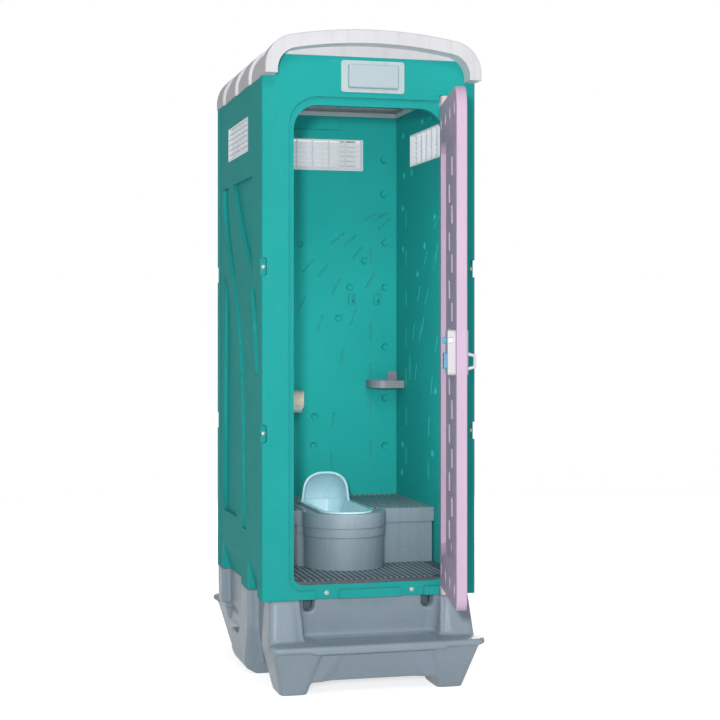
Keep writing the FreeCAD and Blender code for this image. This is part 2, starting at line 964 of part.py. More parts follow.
def bolt_hole(side, z, wall_y, outward):
    x = side * (half_width - bolt_inset)
    seat = wall_y - outward * bolt_notch_depth
    return rod(
        bolt_shank_radius,
        Vector(x, seat + outward, z),
        Vector(x, seat - outward * (bolt_shank_length + 1), z),
    )


def all_bolt_holes():
    return [
        bolt_hole(side, z, wall_y, outward)
        for side in (-1, 1)
        for z in corner_bolt_heights
        for wall_y, outward in ((front_y, -1), (rear_y, 1))
    ]


def make_corner_bolts(wall_y, outward):
    bolts = [corner_bolt(side, z, wall_y, outward) for side in (-1, 1) for z in corner_bolt_heights]
    return Part.makeCompound(bolts)


def roof_outline(half, top, shoulder, foot, slope=roof_top_radius):
    """Section across the roof: upright sides, rounded shoulders and a gentle arch."""
    centre = top - slope
    inner = slope - shoulder
    reach = half - shoulder
    shoulder_z = centre + math.sqrt(inner * inner - reach * reach)
    lean = math.degrees(math.atan2(shoulder_z - centre, reach))
    right = Part.makeCircle(shoulder, Vector(reach, shoulder_z, 0), Vector(0, 0, 1), 0, lean)
    arch = Part.makeCircle(slope, Vector(0, centre, 0), Vector(0, 0, 1), lean, 180 - lean)
    left = Part.makeCircle(shoulder, Vector(-reach, shoulder_z, 0), Vector(0, 0, 1), 180 - lean, 180)
    points = ((-half, shoulder_z), (-half, foot), (half, foot), (half, shoulder_z))
    corners = [Vector(x, z, 0) for x, z in points]
    lines = [Part.makeLine(a, b) for a, b in zip(corners, corners[1:])]
    return Part.Wire(Part.__sortEdges__([right, arch, left] + lines))


def roof_inner_outline(clearance, foot):
    """Section of the room under the roof skin, less a clearance."""
    inset = roof_band_height + roof_skin + clearance
    return roof_outline(
        roof_half_width - inset,
        roof_peak_z - inset,
        roof_shoulder_radius - inset,
        foot,
        roof_top_radius - inset,
    )


def rebate_cut():
    """Rebate round the doorway, with bolt tabs at the sill and pockets for the pivot blocks."""
    far = front_y - 5
    floor = front_y + rebate_depth
    head = rebate_head_radius
    foot = rebate_foot_radius
    cuts = [
        extruded(
            "y",
            rounded_outline(-rebate_half, rebate_half, rebate_foot_z, rebate_head_z, (12, head, foot, 12)),
            far,
            floor,
        )
    ]
    for side in (-1, 1):
        near = side * sill_bolt_offset - sill_tab_width / 2
        cuts.append(block(near, near + sill_tab_width, far, floor, wall_foot_z - 5, rebate_foot_z + 5))
    near = hinge_x - pivot_block_width / 2 - pivot_pocket_gap
    end = hinge_x + pivot_block_width / 2 + pivot_pocket_gap
    pocket_head = pivot_block_head_z + pivot_pocket_gap
    cuts.append(block(near, end, far, floor, rebate_head_z - 5, pocket_head))
    cuts.append(block(near, end, far, floor, wall_foot_z, rebate_foot_z + 5))
    return cuts


def doorway_cut():
    head = doorway_head_radius
    foot = doorway_sill_radius
    half = doorway_width / 2
    return extruded(
        "y",
        rounded_outline(-half, half, doorway_sill_z, doorway_head_z, (head, head, foot, foot)),
        front_y - 5,
        front_y + wall_thickness + 5,
    )


def strike_slot():
    """Slot in the jamb that the lock bolt enters."""
    reach = bolt_throw + 8
    inner = -doorway_width / 2
    return block(
        inner - reach,
        inner + 5,
        lock_bolt_y() - bolt_thickness / 2 - 2,
        lock_bolt_y() + bolt_thickness / 2 + 2,
        lock_z + knob_z_offset - bolt_height / 2 - 4,
        lock_z + knob_z_offset + bolt_height / 2 + 4,
    )


def make_front_panel():
    """Front wall with doorway, rebate, bolt notches and an arched head that fits the roof."""
    lower = block(-half_width, half_width, front_y, front_y + wall_thickness, wall_foot_z, eaves_z)
    lower = rounded_edges(
        lower,
        wall_edge_radius,
        lambda e, m: is_upright(e) and m.y < front_y + 1,
    )
    head = extruded(
        "y",
        roof_inner_outline(panel_gap + 2, eaves_z - 20),
        front_y,
        front_y + wall_thickness,
    )
    head = head.common(block(-half_width, half_width, front_y - 1, 0, eaves_z - 20, fascia_z))
    panel = united([lower, head])
    cuts = rebate_cut() + [doorway_cut(), strike_slot()]
    cuts += end_wall_notches(front_y, -1) + all_bolt_holes() + sill_bolt_holes()
    return panel.cut(cuts)


def smooth_edge(points):
    """Smooth curve through a few plane points."""
    curve = Part.BSplineCurve()
    curve.interpolate([Vector(x, y, 0) for x, y in points])
    return curve.toShape()


def sunk_shape(near, far, depth):
    """Sunk panel in the left wall between two smooth curves of (depth behind the front, height)."""
    first = smooth_edge([(front_y + d, z) for d, z in near])
    second = smooth_edge([(front_y + d, z) for d, z in far])
    ends = [(near[0], far[0]), (near[-1], far[-1])]
    lines = [
        Part.makeLine(Vector(front_y + a[0], a[1], 0), Vector(front_y + b[0], b[1], 0)) for a, b in ends
    ]
    wire = Part.Wire(Part.__sortEdges__([first, second] + lines))
    return extruded("x", wire, -half_width - 5, -side_wall_outer_x + depth)


swoosh_sink = 16.0
foot_scoops = ((120.0, 330.0, 495.0), (485.0, 940.0, 500.0))
rear_sunk_margin = 145.0
rear_sunk_stack_gap = 70.0
rear_sunk_radius = 50.0
rear_sunk_heights = ((520.0, 1240.0), (1330.0, 2100.0))
swoosh_panels = (
    # sail under the vent
    (
        ((230, 2084), (226, 1880), (232, 1692)),
        ((670, 2084), (520, 1900), (236, 1688)),
    ),
    # long blade that sweeps from the upper rear down to the foot
    (
        ((800, 2084), (742, 1880), (610, 1680), (470, 1420), (385, 1080), (370, 612)),
        ((944, 2084), (900, 1915), (780, 1760), (708, 1686), (564, 1450), (468, 1010), (456, 612)),
    ),
    # rear blade
    (
        ((800, 1640), (700, 1420), (625, 1150), (600, 640)),
        ((892, 1700), (900, 1450), (910, 1150), (925, 640)),
    ),
    # front blade
    (
        ((150, 1600), (112, 1450), (100, 1262)),
        ((295, 1652), (206, 1450), (165, 1262)),
    ),
)


def foot_scoop(near, far, head_z):
    """Sloped scoop at the foot of the left wall, which deepens towards the tank."""
    deep = pocket_depth - side_wall_inset
    section = straight_outline(
        (
            (-side_wall_outer_x - 5, head_z + 4),
            (-side_wall_outer_x, head_z),
            (-side_wall_outer_x + deep * 0.7, wall_foot_z + 40),
            (-side_wall_outer_x + deep, wall_foot_z - 5),
            (-side_wall_outer_x - 5, wall_foot_z - 5),
        )
    )
    return extruded("y", section, front_y + near, front_y + far)


def vent_hole(axis, centre, low, high):
    half = vent_width / 2
    return extruded(
        axis,
        rounded_outline(centre - half, centre + half, vent_foot_z, vent_head_z, 6),
        low,
        high,
    )


def make_left_panel():
    """Side wall with a vent opening and sunk sweeping shapes outside."""
    end = wall_inner_y
    wall = block(-side_wall_outer_x, -wall_inner_x, -end, end, wall_foot_z, eaves_z)
    cuts = [sunk_shape(near, far, swoosh_sink) for near, far in swoosh_panels]
    cuts += [foot_scoop(near, far, head) for near, far, head in foot_scoops]
    cuts.append(vent_hole("x", side_vent_y, -half_width - 5, 0))
    cuts += all_bolt_holes()
    return wall.cut(cuts)


def make_right_panel():
    return mirrored(make_left_panel(), Vector(1, 0, 0))


def rear_sunk_panel(low, high):
    """Tall sunk panel outside the rear wall, left of the vent stack."""
    return extruded(
        "y",
        rounded_outline(
            -half_width + rear_sunk_margin,
            stack_x - rear_sunk_stack_gap,
            low,
            high,
            rear_sunk_radius,
        ),
        rear_y - swoosh_sink,
        rear_y + 5,
    )


def make_rear_panel():
    wall = block(-half_width, half_width, rear_y - wall_thickness, rear_y, wall_foot_z, eaves_z)
    wall = rounded_edges(
        wall,
        wall_edge_radius,
        lambda e, m: is_upright(e) and m.y > rear_y - 1,
    )
    cuts = [rear_sunk_panel(low, high) for low, high in rear_sunk_heights]
    cuts.append(vent_hole("y", 0.0, 0, rear_y + 5))
    cuts += end_wall_notches(rear_y, 1) + all_bolt_holes()
    return wall.cut(cuts)


def make_sill_bolts():
    """Two bolts that hold the sill to the floor pan."""
    bolts = []
    seat = front_y + rebate_depth
    for side in (-1, 1):
        x = side * sill_bolt_offset
        middle = Vector(x, seat, sill_bolt_z)
        head = rod(bolt_head_radius, middle - Vector(0, bolt_head_height, 0), middle)
        shank = rod(bolt_shank_radius, middle, middle + Vector(0, sill_bolt_reach, 0))
        bolts.append(head.fuse(shank))
    return Part.makeCompound(bolts)


# Vent grilles


def grille_slat(axis, z, outer, out, low, high):
    """One louvre that falls towards the outside, from side to side of the frame."""
    back = outer - out * slat_depth
    points = (
        (outer, z),
        (outer, z + slat_thickness),
        (back, z + slat_rise + slat_thickness),
        (back, z + slat_rise),
    )
    return extruded("y" if axis == "x" else "x", straight_outline(points), low, high)


def make_grille(axis, centre, inner, outer):
    """Louvre grille that fills a wall opening: frame, sloped slats outside, upright bars inside."""
    out = 1 if outer > inner else -1
    half = vent_width / 2 - grille_fit
    foot = vent_foot_z + grille_fit
    head = vent_head_z - grille_fit
    low, high = min(inner, outer), max(inner, outer)
    frame = extruded(axis, rounded_outline(centre - half, centre + half, foot, head, 5), low, high)
    room = half - grille_frame
    sill = foot + grille_frame
    window = extruded(
        axis,
        rounded_outline(centre - room, centre + room, sill, head - grille_frame, 2),
        low - 5,
        high + 5,
    )
    frame = frame.cut(window)
    pitch = (head - foot - 2 * grille_frame) / slat_count
    bars = []
    for i in range(slat_count):
        z = sill - slat_thickness / 2 + i * pitch
        bars.append(grille_slat(axis, z, outer, out, centre - room - 1, centre + room + 1))
    step = 2 * room / (mullion_count + 1)
    back = outer - out * (slat_depth - 4)
    deep = outer - out * (slat_depth + mullion_depth)
    for i in range(mullion_count):
        u = centre - room + (i + 1) * step
        bars.append(
            extruded(
                axis,
                rounded_outline(u - mullion_width / 2, u + mullion_width / 2, foot + 2, head - 2, 0),
                min(back, deep),
                max(back, deep),
            )
        )
    return united([frame] + bars)


# Roof


def make_roof():
    """One moulding: skin, raised cross bands, front visor, fascia, rear wall and a locating lip."""
    inset = roof_band_height
    base = roof_outline(
        roof_half_width - inset,
        roof_peak_z - inset,
        roof_shoulder_radius - inset,
        eaves_z,
        roof_top_radius - inset,
    )
    full = roof_outline(roof_half_width, roof_peak_z, roof_shoulder_radius, eaves_z)
    rear = rear_y + 2
    solids = [extruded("y", base, front_y, rear)]
    for i in range(roof_band_count):
        start = front_y + roof_band_first + i * roof_band_pitch
        solids.append(extruded("y", full, start, min(start + roof_band_length, rear)))
    visor_start = front_y - visor_reach
    visor = extruded("y", full, visor_start, front_y)
    visor = rounded_edges(
        visor,
        6,
        lambda e, m: abs(e.BoundBox.YMax - visor_start) < 1e-3 and e.BoundBox.ZMax > eaves_z + 1,
    )
    mouth = roof_outline(
        roof_half_width - visor_band + 3,
        roof_peak_z - visor_band - 2,
        roof_shoulder_radius - visor_band + 12,
        eaves_z - 5,
        roof_top_radius - visor_band,
    )
    solids.append(visor.cut(extruded("y", mouth, visor_start - 5, front_y)))
    shell = united(solids)
    room = extruded("y", roof_inner_outline(0.0, eaves_z - 5), front_y + roof_skin + 4, rear - roof_skin)
    front_room = extruded("y", roof_inner_outline(0.0, eaves_z - 5), front_y - 1, front_y + roof_skin + 5)
    front_room = front_room.common(
        block(-half_width, half_width, front_y - 2, 0, eaves_z - 10, fascia_z + panel_gap)
    )
    shell = shell.cut([room, front_room])
    lip_x = wall_inner_x - panel_gap
    lip_y = wall_inner_y - panel_gap
    ring = block(-lip_x, lip_x, -lip_y, lip_y, eaves_z - roof_lip_drop, eaves_z + 5)
    shelf = block(
        -roof_half_width + roof_band_height + 2,
        roof_half_width - roof_band_height - 2,
        -lip_y,
        rear - 2,
        eaves_z,
        eaves_z + 5,
    )
    mouth_ring = block(
        -lip_x + roof_lip_skin,
        lip_x - roof_lip_skin,
        -lip_y + roof_lip_skin,
        lip_y - roof_lip_skin,
        eaves_z - roof_lip_drop - 1,
        eaves_z + 6,
    )
    return united([shell, united([ring, shelf]).cut(mouth_ring)])


# Lamp


def make_lamp_housing():
    """Flat frame with a shallow box behind the lens."""
    half = lamp_width / 2
    plate = extruded(
        "y",
        rounded_outline(lamp_x - half, lamp_x + half, lamp_foot_z, lamp_head_z, 10),
        front_y - lamp_plate,
        front_y,
    )
    seat = extruded(
        "y",
        rounded_outline(
            lamp_x - half + lamp_lens_margin,
            lamp_x + half - lamp_lens_margin,
            lamp_foot_z + lamp_lens_margin * 0.6,
            lamp_head_z - lamp_lens_margin * 0.6,
            8,
        ),
        front_y - lamp_plate - 1,
        front_y - lamp_plate + 3,
    )
    return plate.cut(seat)


def make_lamp_lens():
    """Bulged lens: a rounded block that swells out of the frame."""
    half = lamp_width / 2 - lamp_lens_margin - 0.5
    foot = lamp_foot_z + lamp_lens_margin * 0.6 + 0.5
    head = lamp_head_z - lamp_lens_margin * 0.6 - 0.5
    back = front_y - lamp_plate + 3
    face = front_y - lamp_plate - lamp_lens_proud
    body = extruded("y", rounded_outline(lamp_x - half, lamp_x + half, foot, head, 8), face, back)
    return body.makeFillet(
        7,
        [e for e in body.Edges if abs(e.BoundBox.YMax - face) < 1e-3],
    )


def make_lamp_screws():
    screws = []
    reach = lamp_width / 2 - lamp_screw_inset
    seat = front_y - lamp_plate
    for x in (lamp_x - reach, lamp_x + reach):
        for z in (lamp_foot_z + lamp_screw_inset, lamp_head_z - lamp_screw_inset):
            screws.append(rod(lamp_screw_radius, Vector(x, seat - 2, z), Vector(x, seat, z)))
    return Part.makeCompound(screws)


# Door, built closed


def make_door_panel():
    """Hollow-look door leaf: rounded hinge stile, sunk tray inside and dimples on both rails."""
    leaf = extruded(
        "y",
        rounded_outline(
            -door_half,
            door_half - door_thickness / 2,
            door_foot_z,
            door_head_z,
            (0, door_corner_radius, rebate_foot_radius - door_side_gap, 0),
        ),
        door_outer_y,
        door_inner_y,
    )
    leaf = leaf.makeFillet(
        4,
        [
            e
            for e in leaf.Edges
            if e.BoundBox.YLength < 1e-3 and e.BoundBox.XMin < hinge_x - 1
        ],
    )
    stile = rod(
        door_thickness / 2,
        Vector(hinge_x, hinge_y, door_foot_z),
        Vector(hinge_x, hinge_y, door_head_z),
    )
    tray_foot = rounded_outline(
        -door_half + tray_margin,
        door_half - tray_margin,
        tray_foot_z,
        tray_head_z,
        tray_radius,
        -door_inner_y + tray_depth,
    )
    tray_mouth = rounded_outline(
        -door_half + tray_margin - 8,
        door_half - tray_margin + 8,
        tray_foot_z - 12,
        tray_head_z + 12,
        tray_radius + 6,
        -door_inner_y - 0.01,
    )
    tray = Part.makeLoft([tray_mouth, tray_foot], True, True)
    tray.rotate(Vector(), Vector(1, 0, 0), 90)
    cuts = [tray]
    pitch = (2 * door_half - 150) / (rail_dimple_count - 1)
    for z in ((door_head_z + tray_head_z) / 2, (door_foot_z + tray_foot_z) / 2):
        for i in range(rail_dimple_count):
            x = -door_half + 75 + i * pitch
            cuts.append(
                extruded(
                    "y",
                    rounded_outline(
                        x - rail_dimple_width / 2,
                        x + rail_dimple_width / 2,
                        z - rail_dimple_height / 2,
                        z + rail_dimple_height / 2,
                        rail_dimple_width / 2 - 0.5,
                    ),
                    door_inner_y - rail_dimple_depth,
                    door_inner_y + 1,
                )
            )
    bore = pivot_radius + pivot_clearance
    for z0, z1 in (
        (door_foot_z - 1, door_foot_z + pivot_insert + 2),
        (door_head_z - pivot_insert - 2, door_head_z + 1),
    ):
        cuts.append(rod(bore, Vector(hinge_x, hinge_y, z0), Vector(hinge_x, hinge_y, z1)))
    x, z = knob_place()
    cuts.append(
        rod(spindle_radius + spindle_clearance, Vector(x, door_outer_y - 1, z), Vector(x, door_inner_y + 1, z))
    )
    return leaf.fuse(stile).cut(cuts)


def pivot_block(z0, z1, pin_z0, pin_z1):
    """Block on the rebate floor with a pin that the door turns on."""
    half = pivot_block_width / 2
    body = extruded(
        "z",
        rounded_outline(
            hinge_x - half,
            hinge_x + half,
            hinge_y - half,
            front_y + rebate_depth,
            (0, 0, half - 1, half - 1),
        ),
        z0,
        z1,
    )
    pin = rod(pivot_radius, Vector(hinge_x, hinge_y, pin_z0), Vector(hinge_x, hinge_y, pin_z1))
    return body.fuse(pin)


def make_door_top_pivot():
    foot = door_head_z + pivot_block_gap
    return pivot_block(foot, pivot_block_head_z, door_head_z - pivot_insert, foot + 1)


def make_door_bottom_pivot():
    head = door_foot_z - pivot_block_gap
    return pivot_block(head - pivot_foot_depth, head, head - 1, door_foot_z + pivot_insert)


# Lock, built with the door closed


def lock_case_span():
    """X range of the lock case."""
    start = free_edge_x + lock_edge_inset
    return start, start + lock_width


def knob_place():
    """X and Z of the turn knob's spindle."""
    x0, x1 = lock_case_span()
    return x0 + (x1 - x0) * 0.45, lock_z + knob_z_offset


def lock_bolt_y():
    """Middle of the lock bolt's thickness."""
    return door_inner_y + lock_proud - lock_wall - bolt_thickness / 2 - 4


def bolt_rest_span():
    """X range of the lock bolt when it is drawn back."""
    x0, _ = lock_case_span()
    return x0 + 1.0, x0 + 1.0 + bolt_width


def make_lock_case():
    """Box on the inner face, open behind, with a slot for the bolt and a hole for the spindle."""
    x0, x1 = lock_case_span()
    z0 = lock_z - lock_height / 2
    z1 = lock_z + lock_height / 2
    face = door_inner_y + lock_proud
    body = extruded("y", rounded_outline(x0, x1, z0, z1, 10), door_inner_y, face)
    body = body.makeFillet(4, [e for e in body.Edges if abs(e.BoundBox.YMin - face) < 1e-3])
    hollow = block(
        x0 + lock_wall,
        x1 - lock_wall,
        door_inner_y - 1,
        face - lock_wall,
        lock_z + knob_z_offset - 28,
        z1 - lock_wall,
    )
    bx0, bx1 = bolt_rest_span()
    half_t = bolt_thickness / 2 + slide_clearance
    slot = block(
        x0 - 1,
        bx1,
        lock_bolt_y() - half_t,
        lock_bolt_y() + half_t,
        lock_z + knob_z_offset - bolt_height / 2 - slide_clearance,
        lock_z + knob_z_offset + bolt_height / 2 + slide_clearance,
    )
    x, z = knob_place()
    hole = rod(spindle_radius + spindle_clearance, Vector(x, door_inner_y, z), Vector(x, face + 1, z))
    filler = block(
        free_edge_x + tray_margin + 1,
        x1,
        door_inner_y - tray_depth + 0.5,
        door_inner_y,
        z0 + 6,
        lock_z + knob_z_offset - 30,
    )
    return united([body, filler]).cut([hollow, slot, hole])


def make_lock_bolt():
    """Flat bolt with a slot that the spindle passes through and a rounded nose."""
    x0, x1 = bolt_rest_span()
    z = lock_z + knob_z_offset
    half_t = bolt_thickness / 2
    bolt = extruded(
        "y",
        rounded_outline(x0, x1, z - bolt_height / 2, z + bolt_height / 2, 3),
        lock_bolt_y() - half_t,
        lock_bolt_y() + half_t,
    )
    kx, _ = knob_place()
    reach = spindle_radius + slide_clearance
    slot = block(kx - reach, kx + bolt_throw + reach, lock_bolt_y() - 20, lock_bolt_y() + 20, z - reach, z + reach)
    return bolt.cut(slot)


def make_lock_spindle():
    """Round bar from the turn knob through the door to the indicator."""
    x, z = knob_place()
    return rod(
        spindle_radius,
        Vector(x, door_outer_y - outer_plate_thickness - 2, z),
        Vector(x, door_inner_y + lock_proud + 4, z),
    )


def make_turn_knob():
    """Small knob with a grip bar across it."""
    x, z = knob_place()
    foot = door_inner_y + lock_proud + 0.5
    disc = rod(knob_radius, Vector(x, foot, z), Vector(x, foot + 5, z))
    grip = extruded(
        "y",
        rounded_outline(x - 4.5, x + 4.5, z - knob_radius + 1, z + knob_radius - 1, 4),
        foot + 4,
        foot + knob_height,
    )
    bore = rod(spindle_radius, Vector(x, foot - 1, z), Vector(x, foot + 3.5, z))
    return united([disc, grip]).cut(bore)


def make_inner_grip():
    """Finger grip on the lower half of the lock case."""
    x0, x1 = lock_case_span()
    face = door_inner_y + lock_proud
    z0 = lock_z - 62
    body = extruded(
        "y",
        rounded_outline(x0 + 22, x0 + 22 + grip_width, z0, z0 + grip_height, 8),
        face,
        face + grip_proud,
    )
    return body.makeFillet(4, [e for e in body.Edges if abs(e.BoundBox.YMin - face - grip_proud) < 1e-3])


def make_outer_plate():
    """Plate outside the door with a window for the indicator."""
    x0, x1 = lock_case_span()
    face = door_outer_y - outer_plate_thickness
    body = extruded(
        "y",
        rounded_outline(x0, x1, lock_z - lock_height / 2, lock_z + lock_height / 2, 10),
        face,
        door_outer_y,
    )
    x, z = knob_place()
    pocket = rod(indicator_radius + 1, Vector(x, door_outer_y - 4, z), Vector(x, door_outer_y + 1, z))
    window = extruded(
        "y",
        rounded_outline(x - 11, x + 11, z + 4, z + 13, 2),
        face - 1,
        door_outer_y,
    )
    hole = rod(spindle_radius + spindle_clearance, Vector(x, face - 1, z), Vector(x, door_outer_y + 1, z))
    return body.cut([pocket, window, hole])


def make_indicator_disc():
    """Disc behind the window, fixed to the spindle."""
    x, z = knob_place()
    disc = rod(indicator_radius, Vector(x, door_outer_y - 3.2, z), Vector(x, door_outer_y - 0.8, z))
    bore = rod(spindle_radius, Vector(x, door_outer_y - 5, z), Vector(x, door_outer_y, z))
    return disc.cut(bore)


def make_outer_handle():
    """Bow handle on the lower half of the outer plate."""
    x0, x1 = lock_case_span()
    x = (x0 + x1) / 2
    face = door_outer_y - outer_plate_thickness
    z0 = lock_z - 68
    side = straight_outline(
        (
            (face, z0),
            (face - handle_reach, z0 + 10),
            (face - handle_reach, z0 + handle_height - 10),
            (face, z0 + handle_height),
            (face, z0 + handle_height - 12),
            (face - handle_reach + 9, z0 + handle_height - 18),
            (face - handle_reach + 9, z0 + 18),
            (face, z0 + 12),
        )
    )
    bow = extruded("x", side, x - 9, x + 9)
    return bow.makeFillet(2.5, [e for e in bow.Edges if e.BoundBox.YMin < face - handle_reach + 0.1])


# Fittings inside the cabin


def make_corner_shelf():
    """Quarter-round shelf in the rear right corner with a bracket under the walls' corner."""
    x = wall_inner_x - panel_gap
    y = wall_inner_y - panel_gap
    plan = rounded_outline(x - shelf_along_rear, x, y - shelf_along_side, y, (0, 0, 70, 0))
    top = extruded("z", plan, shelf_top_z - shelf_thickness, shelf_top_z)
    tray = extruded(
        "z",
        rounded_outline(x - shelf_along_rear + 8, x - 8, y - shelf_along_side + 8, y - 8, (4, 4, 62, 4)),
        shelf_top_z - 10,
        shelf_top_z + 1,
    )
    under = extruded(
        "z",
        rounded_outline(x - shelf_along_rear + 6, x - 6, y - shelf_along_side + 6, y - 6, (4, 4, 64, 4)),
        shelf_top_z - shelf_thickness - 1,
        shelf_top_z - 16,
    )
    back = block(x - 46, x, y - 8, y, shelf_top_z - 1, shelf_top_z + shelf_bracket_height)
    return united([top.cut([tray, under]), back])


def hook_wire_path(x, back):
    """Line out of the wall plate, a bend, and a line up to the hook's tip."""
    out = back - hook_reach
    low = hook_z - 10
    bend = hook_wire
    arm = Part.makeLine(Vector(x, back - 2, low), Vector(x, out + bend, low))
    corner = Part.Arc(
        Vector(x, out + bend, low),
        Vector(x, out + bend * (1 - math.sqrt(0.5)), low + bend * (1 - math.sqrt(0.5))),
        Vector(x, out, low + bend),
    ).toShape()
    tip = Part.makeLine(Vector(x, out, low + bend), Vector(x, out, hook_z + 14))
    return Part.Wire([arm, corner, tip])


def make_coat_hooks():
    """Two bent-wire hooks on the rear wall, each with a plate and a ball end."""
    hooks = []
    back = wall_inner_y - panel_gap
    for x in hook_places:
        plate = extruded("y", rounded_outline(x - 12, x + 12, hook_z - 22, hook_z + 22, 8), back - 4, back)
        section = Part.Wire(Part.makeCircle(hook_wire / 2, Vector(x, back - 2, hook_z - 10), Vector(0, 1, 0)))
        wire = hook_wire_path(x, back).makePipeShell([section], True, True)
        tip = rod(5.5, Vector(x, back - hook_reach, hook_z + 12), Vector(x, back - hook_reach, hook_z + 20))
        hooks.append(united([plate, wire, tip]))
    return Part.makeCompound(hooks)


def holder_axis():
    """Y and Z of the paper roll's axis."""
    return wall_inner_y - panel_gap - holder_reach + 34, holder_z


def make_paper_bracket():
    """Back plate with two arms that carry the roll spindle and the flap pin."""
    back = wall_inner_y - panel_gap
    x0 = holder_x - holder_width / 2
    x1 = holder_x + holder_width / 2
    plate = block(x0, x1, back - 4, back, holder_z - 40, holder_z + 55)
    arms = []
    for a, b in ((x0, x0 + holder_arm), (x1 - holder_arm, x1)):
        arms.append(
            extruded(
                "x",
                rounded_outline(back - holder_reach, back - 3, holder_z - 26, holder_z + 55, (4, 22, 22, 4)),
                a,
                b,
            )
        )
    y, z = holder_axis()
    hole = rod(7.0, Vector(x0 - 1, y, z), Vector(x1 + 1, y, z))
    py, pz = flap_pin_place()
    pin_hole = rod(3.0, Vector(x0 - 1, py, pz), Vector(x1 + 1, py, pz))
    return united([plate] + arms).cut([hole, pin_hole])


def flap_pin_place():
    """Y and Z of the cutter flap's pin."""
    return wall_inner_y - panel_gap - 14, holder_z + 47


def make_flap_pin():
    py, pz = flap_pin_place()
    half = holder_width / 2
    return rod(3.0, Vector(holder_x - half, py, pz), Vector(holder_x + half, py, pz))


def make_paper_spindle():
    """Bar across the arms with a fatter middle that the roll turns on."""
    y, z = holder_axis()
    half = holder_width / 2
    thin = rod(7.0, Vector(holder_x - half, y, z), Vector(holder_x + half, y, z))
    inner = half - holder_arm - 0.3
    fat = rod(spindle_bar_radius, Vector(holder_x - inner, y, z), Vector(holder_x + inner, y, z))
    return united([thin, fat])


def make_paper_roll():
    y, z = holder_axis()
    half = holder_width / 2 - holder_arm - roll_end_gap
    roll = rod(roll_radius, Vector(holder_x - half, y, z), Vector(holder_x + half, y, z))
    bore = rod(roll_bore, Vector(holder_x - half - 1, y, z), Vector(holder_x + half + 1, y, z))
    return roll.cut(bore)


def make_paper_flap():
    """Curved cover that lies over the roll and tears the paper."""
    y, z = holder_axis()
    py, pz = flap_pin_place()
    half = holder_width / 2 - holder_arm - 0.8
    inner = roll_radius + 3
    outer = inner + flap_thickness
    tube = rod(outer, Vector(holder_x - half, y, z), Vector(holder_x + half, y, z))
    tube = tube.cut(rod(inner, Vector(holder_x - half - 1, y, z), Vector(holder_x + half + 1, y, z)))
    keep = extruded(
        "x",
        straight_outline(
            ((y, z), (y + 22, z + 90), (y - 90, z + 90), (y - 90, z - 22))
        ),
        holder_x - half - 2,
        holder_x + half + 2,
    )
    cover = tube.common(keep)
    knuckle = rod(6.0, Vector(holder_x - half, py, pz), Vector(holder_x + half, py, pz))
    web = extruded(
        "x",
        straight_outline(
            (
                (py - 2, pz + 5.5),
                (y + 8, z + inner + flap_thickness),
                (y + 8, z + inner + 0.2),
                (py - 2, pz + 1),
            )
        ),
        holder_x - half,
        holder_x + half,
    )
    bore = rod(3.0 + pivot_clearance, Vector(holder_x - 100, py, pz), Vector(holder_x + 100, py, pz))
    return united([cover, knuckle, web]).cut(bore)


# Vent stack


def make_vent_stack():
    """Pipe from the rear ledge of the tank to the roof, with a foot flange."""
    foot = nosing_top_z - 4
    pipe = rod(stack_radius, Vector(stack_x, stack_y, foot), Vector(stack_x, stack_y, stack_top_z))
    flange = rod(stack_radius + 14, Vector(stack_x, stack_y, foot), Vector(stack_x, stack_y, foot + 8))
    bore = rod(
        stack_radius - stack_skin,
        Vector(stack_x, stack_y, foot - 1),
        Vector(stack_x, stack_y, stack_top_z + 1),
    )
    return united([pipe, flange]).cut(bore)


def make_stack_cap():
    """Rain cap: a domed plate held above the pipe by three fins on a collar."""
    collar_outer = stack_radius + 5
    collar = rod(collar_outer, Vector(stack_x, stack_y, stack_top_z - 25), Vector(stack_x, stack_y, stack_top_z + 2))
    bore = rod(
        stack_radius + 0.3,
        Vector(stack_x, stack_y, stack_top_z - 26),
        Vector(stack_x, stack_y, stack_top_z + 0.3),
    )
    mouth = rod(
        stack_radius - stack_skin,
        Vector(stack_x, stack_y, stack_top_z - 26),
        Vector(stack_x, stack_y, stack_top_z + 3),
    )
    ring = collar.cut([bore, mouth])
    fins = []
    for i in range(3):
        fin = block(
            stack_radius - stack_skin,
            collar_outer,
            -2.5,
            2.5,
            stack_top_z + 1,
            stack_top_z + stack_cap_height - 14,
        )
        fin.rotate(Vector(), Vector(0, 0, 1), 120 * i + 30)
        fin.translate(Vector(stack_x, stack_y, 0))
        fins.append(fin)
    dome = Part.makeCone(
        stack_cap_radius,
        stack_radius * 0.6,
        14,
        Vector(stack_x, stack_y, stack_top_z + stack_cap_height - 15),
    )
    return united([ring, dome] + fins)


def make_stack_clips():
    """Clips that hold the stack to the rear wall."""
    clips = []
    for z in stack_clip_heights:
        ring = rod(
            stack_radius + 5,
            Vector(stack_x, stack_y, z),
            Vector(stack_x, stack_y, z + stack_clip_height),
        )
        foot = block(stack_x - 30, stack_x + 30, rear_y, rear_y + 5, z - 6, z + stack_clip_height + 6)
        web = block(stack_x - 10, stack_x + 10, rear_y + 4, stack_y - stack_radius, z, z + stack_clip_height)
        bore = rod(
            stack_radius + 0.3,
            Vector(stack_x, stack_y, z - 1),
            Vector(stack_x, stack_y, z + stack_clip_height + 1),
        )
        clips.append(united([ring, foot, web]).cut(bore))
    return Part.makeCompound(clips)


